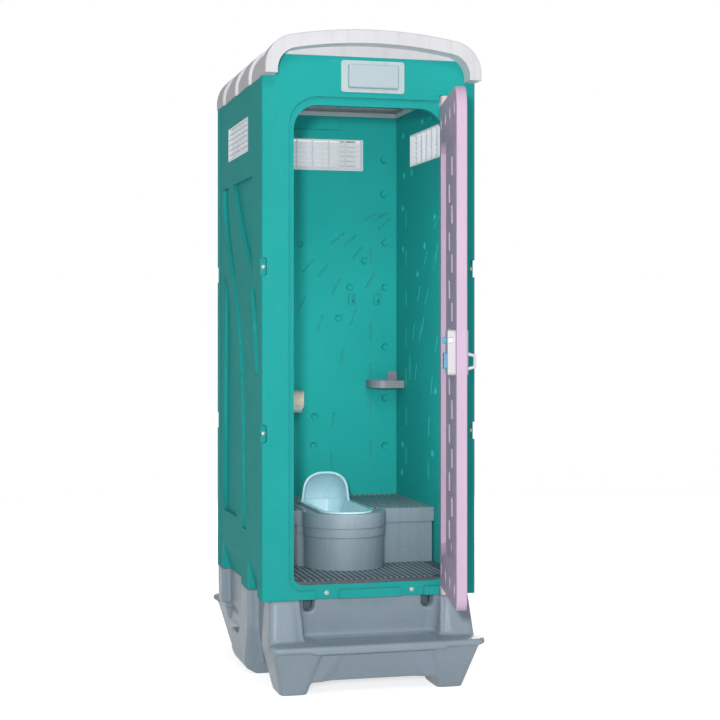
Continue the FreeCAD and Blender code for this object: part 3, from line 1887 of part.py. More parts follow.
fixed_makers = {
    "waste_tank": make_waste_tank,
    "tank_deck": make_tank_deck,
    "pump_out_neck": make_pump_out_neck,
    "pump_lid_pin": make_pump_lid_pin,
    "pump_out_lid": make_pump_out_lid,
    "floor_pan": make_floor_pan,
    "platform_base": make_platform_base,
    "platform_top": make_platform_top,
    "squat_bowl": make_squat_bowl,
    "drop_chute": make_drop_chute,
    "front_panel": make_front_panel,
    "left_panel": make_left_panel,
    "right_panel": make_right_panel,
    "rear_panel": make_rear_panel,
    "front_corner_bolts": lambda: make_corner_bolts(front_y, -1),
    "rear_corner_bolts": lambda: make_corner_bolts(rear_y, 1),
    "sill_bolts": make_sill_bolts,
    "vent_grille_left": lambda: make_grille("x", side_vent_y, -wall_inner_x, -side_wall_outer_x),
    "vent_grille_right": lambda: make_grille("x", side_vent_y, wall_inner_x, side_wall_outer_x),
    "vent_grille_rear": lambda: make_grille("y", 0.0, wall_inner_y, rear_y),
    "roof": make_roof,
    "lamp_housing": make_lamp_housing,
    "lamp_lens": make_lamp_lens,
    "lamp_screws": make_lamp_screws,
    "door_top_pivot": make_door_top_pivot,
    "door_bottom_pivot": make_door_bottom_pivot,
    "corner_shelf": make_corner_shelf,
    "coat_hooks": make_coat_hooks,
    "paper_bracket": make_paper_bracket,
    "paper_spindle": make_paper_spindle,
    "paper_flap_pin": make_flap_pin,
    "paper_roll": make_paper_roll,
    "paper_flap": make_paper_flap,
    "vent_stack": make_vent_stack,
    "vent_stack_cap": make_stack_cap,
    "vent_stack_clips": make_stack_clips,
}

door_makers = {
    "door_panel": make_door_panel,
    "lock_case": make_lock_case,
    "lock_bolt": make_lock_bolt,
    "lock_spindle": make_lock_spindle,
    "turn_knob": make_turn_knob,
    "inner_grip": make_inner_grip,
    "outer_plate": make_outer_plate,
    "indicator_disc": make_indicator_disc,
    "outer_handle": make_outer_handle,
}


def opened(shape):
    """Turns a closed-door shape to the door's resting angle."""
    shape.rotate(Vector(hinge_x, hinge_y, 0), Vector(0, 0, 1), door_rest_angle)
    return shape


def ground_centre(shapes):
    """Middle of the whole object's plan, with the door open."""
    boxes = [shape.optimalBoundingBox(False, False) for shape in shapes]
    x = (min(b.XMin for b in boxes) + max(b.XMax for b in boxes)) / 2
    y = (min(b.YMin for b in boxes) + max(b.YMax for b in boxes)) / 2
    return Vector(x, y, 0)


tank_body = make_tank_body()
parts = {name: maker() for name, maker in fixed_makers.items()}
parts.update({name: opened(maker()) for name, maker in door_makers.items()})
origin = ground_centre(parts.values())

if __name__ == "__main__":
    os.makedirs("parts", exist_ok=True)
    for name, shape in parts.items():
        shape.translate(-origin)
        shape.exportStep("parts/" + name + ".step")
        print(name, len(shape.Solids), round(shape.Volume / 1000), "cm3", shape.isValid())
    print("origin in the cabin frame", [round(v, 2) for v in origin])
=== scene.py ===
# %% [markdown]
# # A portable squat toilet cabin
# The real object is a booth of moulded plastic panels on a waste tank.
# Its door stands open and shows a stepped platform with a squat bowl.
# The solids come from the frame, which fixes sizes and joints.
# This script gives them soft edges, fine relief, finishes, light and a camera.

# %% Load the frame
import json
import math

import bpy
from mathutils import Matrix, Vector


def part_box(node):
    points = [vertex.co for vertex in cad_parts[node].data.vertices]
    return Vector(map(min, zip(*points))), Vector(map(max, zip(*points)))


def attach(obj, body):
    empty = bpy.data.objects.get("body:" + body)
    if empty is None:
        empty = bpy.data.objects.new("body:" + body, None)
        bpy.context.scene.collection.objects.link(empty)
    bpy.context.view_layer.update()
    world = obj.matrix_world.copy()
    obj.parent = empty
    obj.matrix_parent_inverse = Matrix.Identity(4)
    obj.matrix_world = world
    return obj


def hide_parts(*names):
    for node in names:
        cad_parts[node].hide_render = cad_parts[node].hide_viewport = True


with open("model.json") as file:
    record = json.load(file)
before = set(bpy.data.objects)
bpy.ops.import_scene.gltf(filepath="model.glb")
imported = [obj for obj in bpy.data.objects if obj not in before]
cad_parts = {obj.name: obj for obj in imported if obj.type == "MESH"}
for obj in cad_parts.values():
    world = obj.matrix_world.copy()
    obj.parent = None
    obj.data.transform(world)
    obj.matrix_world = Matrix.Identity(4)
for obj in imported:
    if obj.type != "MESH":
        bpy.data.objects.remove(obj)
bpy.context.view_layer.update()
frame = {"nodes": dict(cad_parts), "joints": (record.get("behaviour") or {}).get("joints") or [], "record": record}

# %% [markdown]
# ## Reference lines
# Every piece made here is placed from the boxes of the solids that carry it.
# So the few heights and faces that are used again and again are read once.

# %% Reference lines
MM = 0.001


def span(node):
    """Lowest and highest corner of a solid as two vectors, in metres."""
    low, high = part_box(node)
    return Vector(low), Vector(high)


front_face, inner_front = (corner.y for corner in span("front_panel"))
inner_rear, rear_face = (corner.y for corner in span("rear_panel"))
inner_left = span("left_panel")[1].x
inner_right = span("right_panel")[0].x
print("doorway wall", round(front_face, 3), "to", round(inner_front, 3))

# %% [markdown]
# ## Colour
# A finish is easiest to judge as the 8-bit numbers that a picture shows.
# Shaders work in linear light, so one helper turns the first into the second.

# %% Colour helper


def paint(red, green, blue):
    """Linear colour with alpha from three 0 to 255 screen values."""

    def linear(value):
        share = value / 255
        return share / 12.92 if share <= 0.04045 else ((share + 0.055) / 1.055) ** 2.4

    return (linear(red), linear(green), linear(blue), 1.0)


print("screen grey 128 is", round(paint(128, 128, 128)[0], 3), "in linear light")

# %% [markdown]
# ## Shared effect: moulded skin
# Rotation moulded plastic has a faint orange-peel surface and uneven gloss.
# Outdoors it gets pale streaks where water runs down, dust low down, fine scratches
# where boots and hands go, and worn edges. The pale edges are also a painted highlight.
# All of this is one node group, because every plastic piece has it in some measure.
# The group puts out a colour, a roughness and a normal. The shader stays outside.

# %% Node helpers


def new_group(name, inputs, outputs):
    """Empty shader group with named sockets. Returns the group and its two end nodes."""
    group = bpy.data.node_groups.new(name, "ShaderNodeTree")
    for label, kind, value in inputs:
        socket = group.interface.new_socket(label, in_out="INPUT", socket_type=kind)
        if value is not None:
            socket.default_value = value
    for label, kind in outputs:
        group.interface.new_socket(label, in_out="OUTPUT", socket_type=kind)
    start = group.nodes.new("NodeGroupInput")
    end = group.nodes.new("NodeGroupOutput")
    return group, start, end


def noise(group, coords, scale, detail=3.0, rough=0.55):
    """Noise between 0 and 1 over the given coordinates."""
    node = group.nodes.new("ShaderNodeTexNoise")
    node.inputs["Scale"].default_value = scale
    node.inputs["Detail"].default_value = detail
    node.inputs["Roughness"].default_value = rough
    group.links.new(coords, node.inputs["Vector"])
    return node.outputs["Fac"]


def spread(group, value, low, high, to_low=0.0, to_high=1.0):
    """Maps a value from one range to another and clamps it."""
    node = group.nodes.new("ShaderNodeMapRange")
    group.links.new(value, node.inputs["Value"])
    ends = {"From Min": low, "From Max": high, "To Min": to_low, "To Max": to_high}
    for label, number in ends.items():
        node.inputs[label].default_value = number
    return node.outputs["Result"]


def math_node(group, kind, first, second):
    """Sum, product or other result of two parts. Each is a socket or a number."""
    node = group.nodes.new("ShaderNodeMath")
    node.operation = kind
    for socket, value in zip(node.inputs, (first, second)):
        if isinstance(value, (int, float)):
            socket.default_value = value
        else:
            group.links.new(value, socket)
    return node.outputs["Value"]


def mixed(group, factor, first, second, blend="MIX"):
    """Colour mix. Each part is a socket or a fixed value."""
    node = group.nodes.new("ShaderNodeMix")
    node.data_type = "RGBA"
    node.blend_type = blend
    for index, value in ((0, factor), (6, first), (7, second)):
        if isinstance(value, (int, float, tuple)):
            node.inputs[index].default_value = value
        else:
            group.links.new(value, node.inputs[index])
    return node.outputs[2]


def stretched(group, coords, scale):
    """Coordinates that are squeezed by a different amount on each axis."""
    node = group.nodes.new("ShaderNodeVectorMath")
    node.operation = "MULTIPLY"
    group.links.new(coords, node.inputs[0])
    node.inputs[1].default_value = scale
    return node.outputs[0]


# %% [markdown]
# The group is built in the order in which a real panel gets its looks: the shade from the mould,
# the worn edges with a painted highlight, the streaks, the scratches and last the dust.
# A bevel node rounds the edges in the light alone, which leaves the mesh as it is.

# %% Moulded skin group
WORN_AND_HIGHLIGHT_COLOUR = (0.8, 0.82, 0.84, 1.0)
SCRATCH_COLOUR = (0.75, 0.77, 0.79, 1.0)
SCRATCH_WAYS = ((9.0, 240.0, 300.0), (260.0, 11.0, 240.0), (240.0, 280.0, 8.0))
STREAK_STRETCH = (26.0, 26.0, 0.9)
DUST_TOP = 0.9
DUST_ROUGHENS = 0.25
SCRATCH_ROUGHENS = 0.3
PEEL_GRAIN = 420.0
PEEL_HEIGHT = 0.4 * MM


def build_moulded_skin():
    group, start, end = new_group(
        "moulded skin",
        (
            ("Colour", "NodeSocketColor", (0.5, 0.5, 0.5, 1.0)),
            ("Dust colour", "NodeSocketColor", (0.4, 0.38, 0.34, 1.0)),
            ("Dust", "NodeSocketFloat", 0.3),
            ("Streaks", "NodeSocketFloat", 0.2),
            ("Scratches", "NodeSocketFloat", 0.2),
            ("Wear", "NodeSocketFloat", 0.3),
            ("Roughness", "NodeSocketFloat", 0.45),
            ("Peel", "NodeSocketFloat", 0.2),
            ("Edge", "NodeSocketFloat", 0.002),
        ),
        (
            ("Colour", "NodeSocketColor"),
            ("Roughness", "NodeSocketFloat"),
            ("Normal", "NodeSocketVector"),
        ),
    )
    place = group.nodes.new("ShaderNodeTexCoord").outputs["Object"]
    links = group.links
    given = start.outputs
    # Slow changes of shade from cooling in the mould
    shade = spread(group, noise(group, place, 2.3, 4.0, 0.6), 0.3, 0.7, 0.95, 1.04)
    tone = group.nodes.new("ShaderNodeVectorMath")
    tone.operation = "SCALE"
    links.new(given["Colour"], tone.inputs[0])
    links.new(shade, tone.inputs["Scale"])
    # Rounded edges, and how far each point's normal leans from the flat one there
    edge = group.nodes.new("ShaderNodeBevel")
    edge.samples = 6
    links.new(given["Edge"], edge.inputs["Radius"])
    flat = group.nodes.new("ShaderNodeNewGeometry")
    lean = group.nodes.new("ShaderNodeVectorMath")
    lean.operation = "DOT_PRODUCT"
    links.new(edge.outputs["Normal"], lean.inputs[0])
    links.new(flat.outputs["Normal"], lean.inputs[1])
    rim = spread(group, lean.outputs["Value"], 0.8, 0.995, 1.0, 0.0)
    # Pale edges, patchy along their length: worn plastic and a painted highlight on every edge.
    worn_and_highlight_patches = spread(group, noise(group, place, 24.0, 4.0, 0.65), 0.35, 0.65)
    rim = math_node(group, "MULTIPLY", math_node(group, "MULTIPLY", rim, worn_and_highlight_patches), given["Wear"])
    colour = mixed(group, rim, tone.outputs[0], WORN_AND_HIGHLIGHT_COLOUR)
    # Streaks run down the uprights, and scratches cross each other on every face
    runs = noise(group, stretched(group, place, STREAK_STRETCH), 1.0, 3.0, 0.6)
    runs = math_node(group, "MULTIPLY", spread(group, runs, 0.5, 0.75), given["Streaks"])
    colour = mixed(group, runs, colour, given["Dust colour"])
    lines = 0.0
    for scale in SCRATCH_WAYS:
        hairs = noise(group, stretched(group, place, scale), 1.0, 2.0, 0.5)
        lines = math_node(group, "MAXIMUM", lines, spread(group, hairs, 0.66, 0.72))
    lines = math_node(group, "MULTIPLY", lines, given["Scratches"])
    colour = mixed(group, lines, colour, SCRATCH_COLOUR)
    # Dust: more of it low down, broken up by noise
    split = group.nodes.new("ShaderNodeSeparateXYZ")
    links.new(place, split.inputs[0])
    low = spread(group, split.outputs["Z"], 0.0, DUST_TOP, 1.0, 0.12)
    patch = spread(group, noise(group, place, 9.0, 6.0, 0.7), 0.42, 0.72)
    amount = math_node(group, "MULTIPLY", math_node(group, "MULTIPLY", low, patch), given["Dust"])
    links.new(mixed(group, amount, colour, given["Dust colour"]), end.inputs["Colour"])
    # Gloss: rougher where dusty or scratched, and slightly uneven everywhere
    uneven = spread(group, noise(group, place, 14.0, 3.0, 0.6), 0.3, 0.7, -0.03, 0.03)
    rough = math_node(group, "ADD", given["Roughness"], uneven)
    rough = math_node(group, "ADD", rough, math_node(group, "MULTIPLY", amount, DUST_ROUGHENS))
    rough = math_node(group, "ADD", rough, math_node(group, "MULTIPLY", lines, SCRATCH_ROUGHENS))
    links.new(rough, end.inputs["Roughness"])
    # Surface: the peel on top of the rounded edges
    bump = group.nodes.new("ShaderNodeBump")
    bump.inputs["Distance"].default_value = PEEL_HEIGHT
    links.new(given["Peel"], bump.inputs["Strength"])
    links.new(noise(group, place, PEEL_GRAIN, 2.0, 0.5), bump.inputs["Height"])
    links.new(edge.outputs["Normal"], bump.inputs["Normal"])
    links.new(bump.outputs["Normal"], end.inputs["Normal"])
    return group


moulded_skin = build_moulded_skin()
print("group", moulded_skin.name, "has", len(moulded_skin.nodes), "nodes")

# %% [markdown]
# ## Plastics
# Each plastic is one material: the shared group, then a Principled shader.
# Plain numbers such as the coat go straight on the shader's own sockets.

# %% Plastic maker
PALE_DUST = (120, 112, 100)
COAT_ROUGHNESS = 0.25


def plastic(name, colour, rough=0.45, edge=0.002, coat=0.0, shine=0.35, **levels):
    """Moulded plastic from a screen colour.

    The coat and the shine, which is the specular level, stay on the shader. Levels
    name inputs of the skin group, such as dust or peel.
    """
    material = bpy.data.materials.new(name)
    material.use_nodes = True
    tree = material.node_tree
    shader = tree.nodes["Principled BSDF"]
    skin = tree.nodes.new("ShaderNodeGroup")
    skin.node_tree = moulded_skin
    skin.inputs["Colour"].default_value = paint(*colour)
    skin.inputs["Dust colour"].default_value = paint(*PALE_DUST)
    skin.inputs["Roughness"].default_value = rough
    skin.inputs["Edge"].default_value = edge
    for label, value in levels.items():
        skin.inputs[label.capitalize()].default_value = value
    sockets = {"Colour": "Base Color", "Roughness": "Roughness", "Normal": "Normal"}
    for label, socket in sockets.items():
        tree.links.new(skin.outputs[label], shader.inputs[socket])
    shader.inputs["Specular IOR Level"].default_value = shine
    shader.inputs["Coat Weight"].default_value = coat
    shader.inputs["Coat Roughness"].default_value = COAT_ROUGHNESS
    return material


finishes = {
    "tank_grey": plastic(
        "tank plastic", (146, 162, 174), 0.36, 0.006, 0.0, 0.3,
        dust=0.18, streaks=0.06, scratches=0.12, peel=0.35,
    ),
    "wall_green": plastic(
        "wall plastic", (40, 169, 165), 0.5, 0.003, 0.0, 0.012,
        dust=0.1, streaks=0.04, scratches=0.03, wear=0.2,
    ),
    "grille_white": plastic("grille plastic", (196, 198, 202), 0.4, 0.001, dust=0.05, wear=0.1),
    "roof_white": plastic(
        "roof plastic", (222, 222, 226), 0.5, 0.004, 0.0, 0.03,
        dust=0.25, streaks=0.1, scratches=0.05,
    ),
    "door_pink": plastic(
        "door plastic", (206, 182, 206), 0.5, 0.003, 0.0, 0.08,
        dust=0.1, streaks=0.05, scratches=0.05, wear=0.2,
    ),
    "pivot_pink": plastic("pivot plastic", (226, 204, 210), 0.4, 0.001, dust=0.2),
    "floor_grey": plastic("floor plastic", (74, 88, 96), 0.5, 0.002, dust=0.4, scratches=0.2),
    "platform_grey": plastic(
        "platform plastic", (132, 149, 160), 0.38, 0.003, 0.0, 0.3,
        dust=0.2, scratches=0.12,
    ),
    "bowl_blue": plastic(
        "bowl plastic", (184, 221, 230), 0.16, 0.002, 0.4, 0.5,
        dust=0.05, scratches=0.05, peel=0.05,
    ),
    "lamp_frame": plastic("lamp frame plastic", (190, 208, 210), 0.4, 0.001, dust=0.2),
    "shelf_grey": plastic("shelf plastic", (140, 140, 150), 0.45, 0.002, dust=0.2),
    "holder_cream": plastic(
        "holder plastic", (232, 214, 194), 0.25, 0.001, 0.2,
        dust=0.15, peel=0.05,
    ),
    "lock_white": plastic(
        "lock case plastic", (208, 205, 210), 0.35, 0.001, 0.0, 0.25,
        dust=0.15, peel=0.05,
    ),
    "lock_blue": plastic(
        "lock grip plastic", (92, 160, 196), 0.3, 0.001, 0.0, 0.3,
        dust=0.1, peel=0.05,
    ),
    "indicator": plastic("indicator plastic", (60, 120, 185), 0.3, 0.0005, dust=0.1, peel=0.05),
    "pipe_grey": plastic("pipe plastic", (122, 126, 132), 0.4, 0.001, dust=0.3, scratches=0.1),
}
print("plastics:", len(finishes))

# %% [markdown]
# Daylight shines through the thin plastic of the louvres. Their real slats let light
# in from outside, which a closed cabin can't show, so a weak glow stands for it.

# %% Daylight in the grilles
DAYLIGHT = paint(216, 222, 226)
DAYLIGHT_STRENGTH = 0.24
grille_shader = finishes["grille_white"].node_tree.nodes["Principled BSDF"]
grille_shader.inputs["Emission Color"].default_value = DAYLIGHT
grille_shader.inputs["Emission Strength"].default_value = DAYLIGHT_STRENGTH
print("grille glow:", DAYLIGHT_STRENGTH)

# %% [markdown]
# ## Lens, steel and paper
# The lamp's cover is frosted, so a little light passes and it stays pale.
# Zinc-plated steel is metallic with fine scratches.
# Paper is rough and slightly warm, with a fine grain of fibres.

# %% Lens, steel and paper


def plain_material(name):
    """New material with its node tree and its shader."""
    material = bpy.data.materials.new(name)
    material.use_nodes = True
    tree = material.node_tree
    return material, tree, tree.nodes["Principled BSDF"]


def make_lens():
    material, tree, shader = plain_material("frosted lens")
    place = tree.nodes.new("ShaderNodeTexCoord").outputs["Object"]
    grain = noise(tree, place, 900.0, 2.0, 0.5)
    tint = mixed(tree, grain, paint(176, 194, 202), paint(196, 210, 216))
    tree.links.new(tint, shader.inputs["Base Color"])
    tree.links.new(spread(tree, grain, 0.3, 0.7, 0.22, 0.32), shader.inputs["Roughness"])
    shader.inputs["Subsurface Weight"].default_value = 0.3
    shader.inputs["Subsurface Radius"].default_value = (0.01, 0.01, 0.01)
    return material


def make_steel():
    material, tree, shader = plain_material("zinc plated steel")
    place = tree.nodes.new("ShaderNodeTexCoord").outputs["Object"]
    fine = noise(tree, place, 350.0, 4.0, 0.6)
    shader.inputs["Metallic"].default_value = 1.0
    tint = mixed(tree, fine, paint(168, 170, 174), paint(206, 206, 206))
    tree.links.new(tint, shader.inputs["Base Color"])
    tree.links.new(spread(tree, fine, 0.3, 0.7, 0.26, 0.42), shader.inputs["Roughness"])
    return material


def make_paper():
    material, tree, shader = plain_material("soft paper")
    place = tree.nodes.new("ShaderNodeTexCoord").outputs["Object"]
    fibre = noise(tree, place, 800.0, 3.0, 0.6)
    tint = mixed(tree, fibre, paint(236, 232, 226), paint(246, 244, 240))
    tree.links.new(tint, shader.inputs["Base Color"])
    shader.inputs["Roughness"].default_value = 0.9
    bump = tree.nodes.new("ShaderNodeBump")
    bump.inputs["Strength"].default_value = 0.3
    bump.inputs["Distance"].default_value = 0.3 * MM
    tree.links.new(fibre, bump.inputs["Height"])
    tree.links.new(bump.outputs["Normal"], shader.inputs["Normal"])
    return material


finishes["lamp_lens"] = make_lens()
finishes["steel"] = make_steel()
finishes["paper_white"] = make_paper()
print("finishes:", ", ".join(finishes))

# %% [markdown]
# ## Dress the solids
# The record says which finish each node takes, so one loop can dress them all.

# %% Dress the solids
node_slot = {row["node"]: row["material_slot"] for row in frame["record"]["subparts"]}
for name, node in frame["nodes"].items():
    node.data.materials.clear()
    node.data.materials.append(finishes[node_slot[name]])
print("dressed", len(node_slot), "solids with", len(set(node_slot.values())), "finishes")

# %% [markdown]
# ## Working on a piece
# A modifier is added with its settings and applied at once, so that each step
# leaves a plain mesh. Solids come in as loose triangles, so a copy is joined and
# its shared corners are merged before anything is done to it.

# %% Helpers for pieces
MERGE_REACH = 0.02 * MM
SMOOTH_ANGLE = math.radians(35)
BEVEL_ANGLE = math.radians(40)


def alone(piece):
    """Selects one object only and makes it active."""
    bpy.ops.object.select_all(action="DESELECT")
    piece.select_set(True)
    bpy.context.view_layer.objects.active = piece


def shaped(piece, kind, **settings):
    """Adds a modifier with its settings and applies it."""
    alone(piece)
    step = piece.modifiers.new(kind, kind)
    for label, value in settings.items():
        setattr(step, label, value)
    bpy.ops.object.modifier_apply(modifier=step.name)
    return piece


def joined(name, pieces):
    """One object out of several, with its place in its mesh."""
    alone(pieces[0])
    for piece in pieces[1:]:
        piece.select_set(True)
    if len(pieces) > 1:
        bpy.ops.object.join()
    bpy.ops.object.transform_apply(location=True, rotation=True, scale=True)
    pieces[0].name = name
    return pieces[0]


def merged_copy(name, *nodes):
    """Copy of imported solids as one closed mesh."""
    copies = []
    for node in nodes:
        copy = bpy.data.objects.new(name, frame["nodes"][node].data.copy())
        bpy.context.scene.collection.objects.link(copy)
        copies.append(copy)
    piece = joined(name, copies)
    bpy.ops.object.mode_set(mode="EDIT")
    bpy.ops.mesh.select_all(action="SELECT")
    bpy.ops.mesh.customdata_custom_splitnormals_clear()
    bpy.ops.mesh.remove_doubles(threshold=MERGE_REACH)
    bpy.ops.object.mode_set(mode="OBJECT")
    return piece


def carve(piece, cutters):
    """Takes all the cutters out of a piece at once."""
    tool = joined("cutter", cutters)
    shaped(piece, "BOOLEAN", operation="DIFFERENCE", solver="EXACT", object=tool)
    bpy.data.objects.remove(tool)
    return piece


def pick(piece, kind, wanted):
    """Selects the corners or faces that pass a test, and goes to edit mode."""
    bpy.ops.object.mode_set(mode="EDIT")
    bpy.ops.mesh.select_mode(type=kind)
    bpy.ops.mesh.select_all(action="DESELECT")
    bpy.ops.object.mode_set(mode="OBJECT")
    parts = piece.data.vertices if kind == "VERT" else piece.data.polygons
    for part in parts:
        part.select = wanted(part)
    bpy.ops.object.mode_set(mode="EDIT")


def block(middle, size):
    """Plain block, the start of many pieces."""
    bpy.ops.object.select_all(action="DESELECT")
    bpy.ops.mesh.primitive_cube_add(size=1, location=middle)
    piece = bpy.context.active_object
    piece.scale = size
    bpy.ops.object.transform_apply(location=True, rotation=True, scale=True)
    return piece


def rounded(piece, width, segments=2):
    """Rounds the sharp edges of a piece."""
    return shaped(
        piece,
        "BEVEL",
        width=width,
        segments=segments,
        limit_method="ANGLE",
        angle_limit=BEVEL_ANGLE,
    )


def smoothed(piece):
    """Shades a piece smooth, apart from its sharp edges."""
    alone(piece)
    bpy.ops.object.shade_smooth_by_angle(angle=SMOOTH_ANGLE)
    return piece


def triangles(piece):
    return sum(len(face.vertices) - 2 for face in piece.data.polygons)


def settle(piece, slot, body, *stands_for, finish=None):
    """Gives a finished piece its plastic and its body, and hides the solids that it stands for."""
    piece.data.materials.clear()
    piece.data.materials.append(finish or finishes[slot])
    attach(piece, body)
    if stands_for:
        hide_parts(*stands_for)
    print(piece.name, "has", triangles(piece), "triangles")
    return piece


# %% [markdown]
# ## Tank
# The tank is rotation moulded: powder melts on the wall of a hot mould, so no edge
# on it is sharp. A bevel on each edge would fight with the many curved meetings.
# Here both halves are joined and rebuilt as an even skin, and that skin is smoothed
# until the edges have the soft radius of the real moulding. The two notches for
# lifting hooks are cut first, and a dark plate stands at the back of each as painted shade.

# %% Tank
# A dark grey plastic for painted shade: in the hook notches and between the bench ribs.
painted_shade_plastic = plastic("painted shade plastic", (76, 92, 100), 0.5, 0.001, dust=0.3)
TANK_GRAIN = 6 * MM
TANK_SMOOTHING = 6
TANK_KEPT = 0.4
NOTCH_X = 248 * MM
NOTCH_FOOT = 320 * MM
NOTCH_RADIUS = 18 * MM
NOTCH_DEPTH = 60 * MM
NOTCH_STRETCH = 20 * MM
NOTCH_IN = 57 * MM
NOTCH_BACK = (34 * MM, 8 * MM, 50 * MM)
NOTCH_BACK_IN = 68 * MM
NOTCH_BACK_ROUNDING = 3 * MM


def notch_hole(x, y):
    """Upright slot with a round foot: a cylinder whose upper half is pulled up."""
    foot = NOTCH_FOOT + NOTCH_RADIUS
    bpy.ops.object.select_all(action="DESELECT")
    bpy.ops.mesh.primitive_cylinder_add(
        vertices=32,
        radius=NOTCH_RADIUS,
        depth=NOTCH_DEPTH,
        location=(x, y, foot),
        rotation=(math.pi / 2, 0, 0),
    )
    hole = bpy.context.active_object
    bpy.ops.object.transform_apply(location=True, rotation=True, scale=True)
    pick(hole, "VERT", lambda corner: corner.co.z > foot + 0.1 * MM)
    bpy.ops.transform.translate(value=(0, 0, NOTCH_STRETCH))
    bpy.ops.object.mode_set(mode="OBJECT")
    return hole


def make_tank():
    tank = merged_copy("tank_moulding", "waste_tank", "tank_deck")
    carve(tank, [notch_hole(side * NOTCH_X, front_face + NOTCH_IN) for side in (-1, 1)])
    shaped(tank, "REMESH", mode="VOXEL", voxel_size=TANK_GRAIN, use_smooth_shade=True)
    shaped(tank, "SMOOTH", iterations=TANK_SMOOTHING, factor=0.5)
    shaped(tank, "DECIMATE", ratio=TANK_KEPT)
    bpy.ops.object.shade_smooth()
    return settle(tank, "tank_grey", "cabin", "waste_tank", "tank_deck")


def notch_shade_plate(x, y):
    """Rounded plate that closes one slot a little way in, dark as painted shade."""
    back = block((x, y, NOTCH_FOOT + NOTCH_BACK[2] / 2), NOTCH_BACK)
    return rounded(back, NOTCH_BACK_ROUNDING, 3)


make_tank()
# Each notch gets a dark plate as painted shade.
shade_plates = [notch_shade_plate(side * NOTCH_X, front_face + NOTCH_BACK_IN) for side in (-1, 1)]
settle(smoothed(joined("notch_shade_plates", shade_plates)), "tank_grey", "cabin", finish=painted_shade_plastic)

# %% [markdown]
# ## Relief of the walls
# Each wall is a hollow double skin. Where the two skins touch, the inner one shows
# a round cone-shaped pit, and along the sweeping grooves of the outside it shows
# rows of short slots. They are cut, not painted, so light falls into them.
# A cone takes out each pit and a wedge-shaped bar each slot. A slot that would run
# into a pit or another slot is left out, because cutters that overlap spoil the cut.

# %% Cutters
PIT_MOUTH = 19 * MM
PIT_SEAT = 8 * MM
PIT_DEPTH = 11 * MM
SLOT_LENGTH = 84 * MM
SLOT_WIDTH = 11 * MM
SLOT_DEPTH = 5 * MM
CLEAR = 1 * MM
SLOT_SIZE = (SLOT_WIDTH, SLOT_LENGTH, SLOT_DEPTH)
SLOT_TAPER = (0.3, 0.9, 1.0)


def pit_cutter(place, turn):
    """Cone whose wide end lies just outside the wall's face."""
    lean = (PIT_MOUTH - PIT_SEAT) / PIT_DEPTH
    bpy.ops.object.select_all(action="DESELECT")
    bpy.ops.mesh.primitive_cone_add(
        vertices=24,
        radius1=PIT_MOUTH + lean * CLEAR,
        radius2=PIT_SEAT,
        depth=PIT_DEPTH + CLEAR,
        location=place,
        rotation=turn,
    )
    return bpy.context.active_object


def slot_cutter(place, along, into, size=SLOT_SIZE, taper=SLOT_TAPER):
    """Wedge bar that lies along one direction. Its narrow side points into the wall."""
    width, length, depth = size
    bar = block((0, 0, 0), (width, length, depth + CLEAR))
    pick(bar, "FACE", lambda face: face.normal.z > 0.5)
    bpy.ops.transform.resize(value=taper)
    bpy.ops.object.mode_set(mode="OBJECT")
    along, into = Vector(along), Vector(into)
    turn = Matrix((along.cross(into), along, into)).transposed()
    bar.matrix_world = Matrix.Translation(place) @ turn.to_4x4()
    return bar


def stations(across, height, tilt, count=8):
    """Points spread evenly over the length of one slot."""
    parts = [SLOT_LENGTH * (index / (count - 1) - 0.5) for index in range(count)]
    return [(across + part * math.sin(tilt), height + part * math.cos(tilt)) for part in parts]


def apart(slots, pits, gap=0.006):
    """The slots that stay clear of every pit and of each slot before them."""
    kept, taken = [], []
    for slot in slots:
        points = stations(*slot)
        room = PIT_MOUTH + SLOT_WIDTH / 2 + gap
        clear = all(math.dist(point, pit) > room for point in points for pit in pits)
        room = SLOT_WIDTH + gap
        clear = clear and all(math.dist(point, other) > room for point in points for other in taken)
        if clear:
            kept.append(slot)
            taken += points
    return kept


print("a pit is", round(2 * PIT_MOUTH / MM), "mm wide, a slot", round(SLOT_LENGTH / MM), "mm long")

# %% [markdown]
# The slots follow arcs that sweep up across each wall. On a wall's face an arc
# starts upright at its foot and leans over as it climbs, and the slots stand on it
# at an even pitch. The arcs are given by their feet, so they are easy to move.

# %% Slots along sweeping arcs
SWEEP_RADIUS = 1.15
SWEEP_PITCH = math.radians(9.5)


def sweep(foot_across, foot_height, lean_way, first, count):
    """Places and tilts of slots on one arc, as (across, height, tilt from upright)."""
    rows = []
    for index in range(count):
        angle = first + index * SWEEP_PITCH
        across = foot_across + lean_way * SWEEP_RADIUS * (1 - math.cos(angle))
        height = foot_height + SWEEP_RADIUS * math.sin(angle)
        rows.append((across, height, lean_way * angle))
    return rows


def upright_row(across, low, high, pitch=0.182):
    """Places of upright slots, one above the other."""
    count = int((high - low) / pitch) + 1
    return [(across, low + index * pitch, 0.0) for index in range(count)]


print("slots on an arc are", round(SWEEP_RADIUS * SWEEP_PITCH / MM), "mm apart")

# %% [markdown]
# The rear wall's pits stand mostly in one column beside the corner. Above the grille
# a shallow plate-shaped recess is cut with the same wedge, made wide.

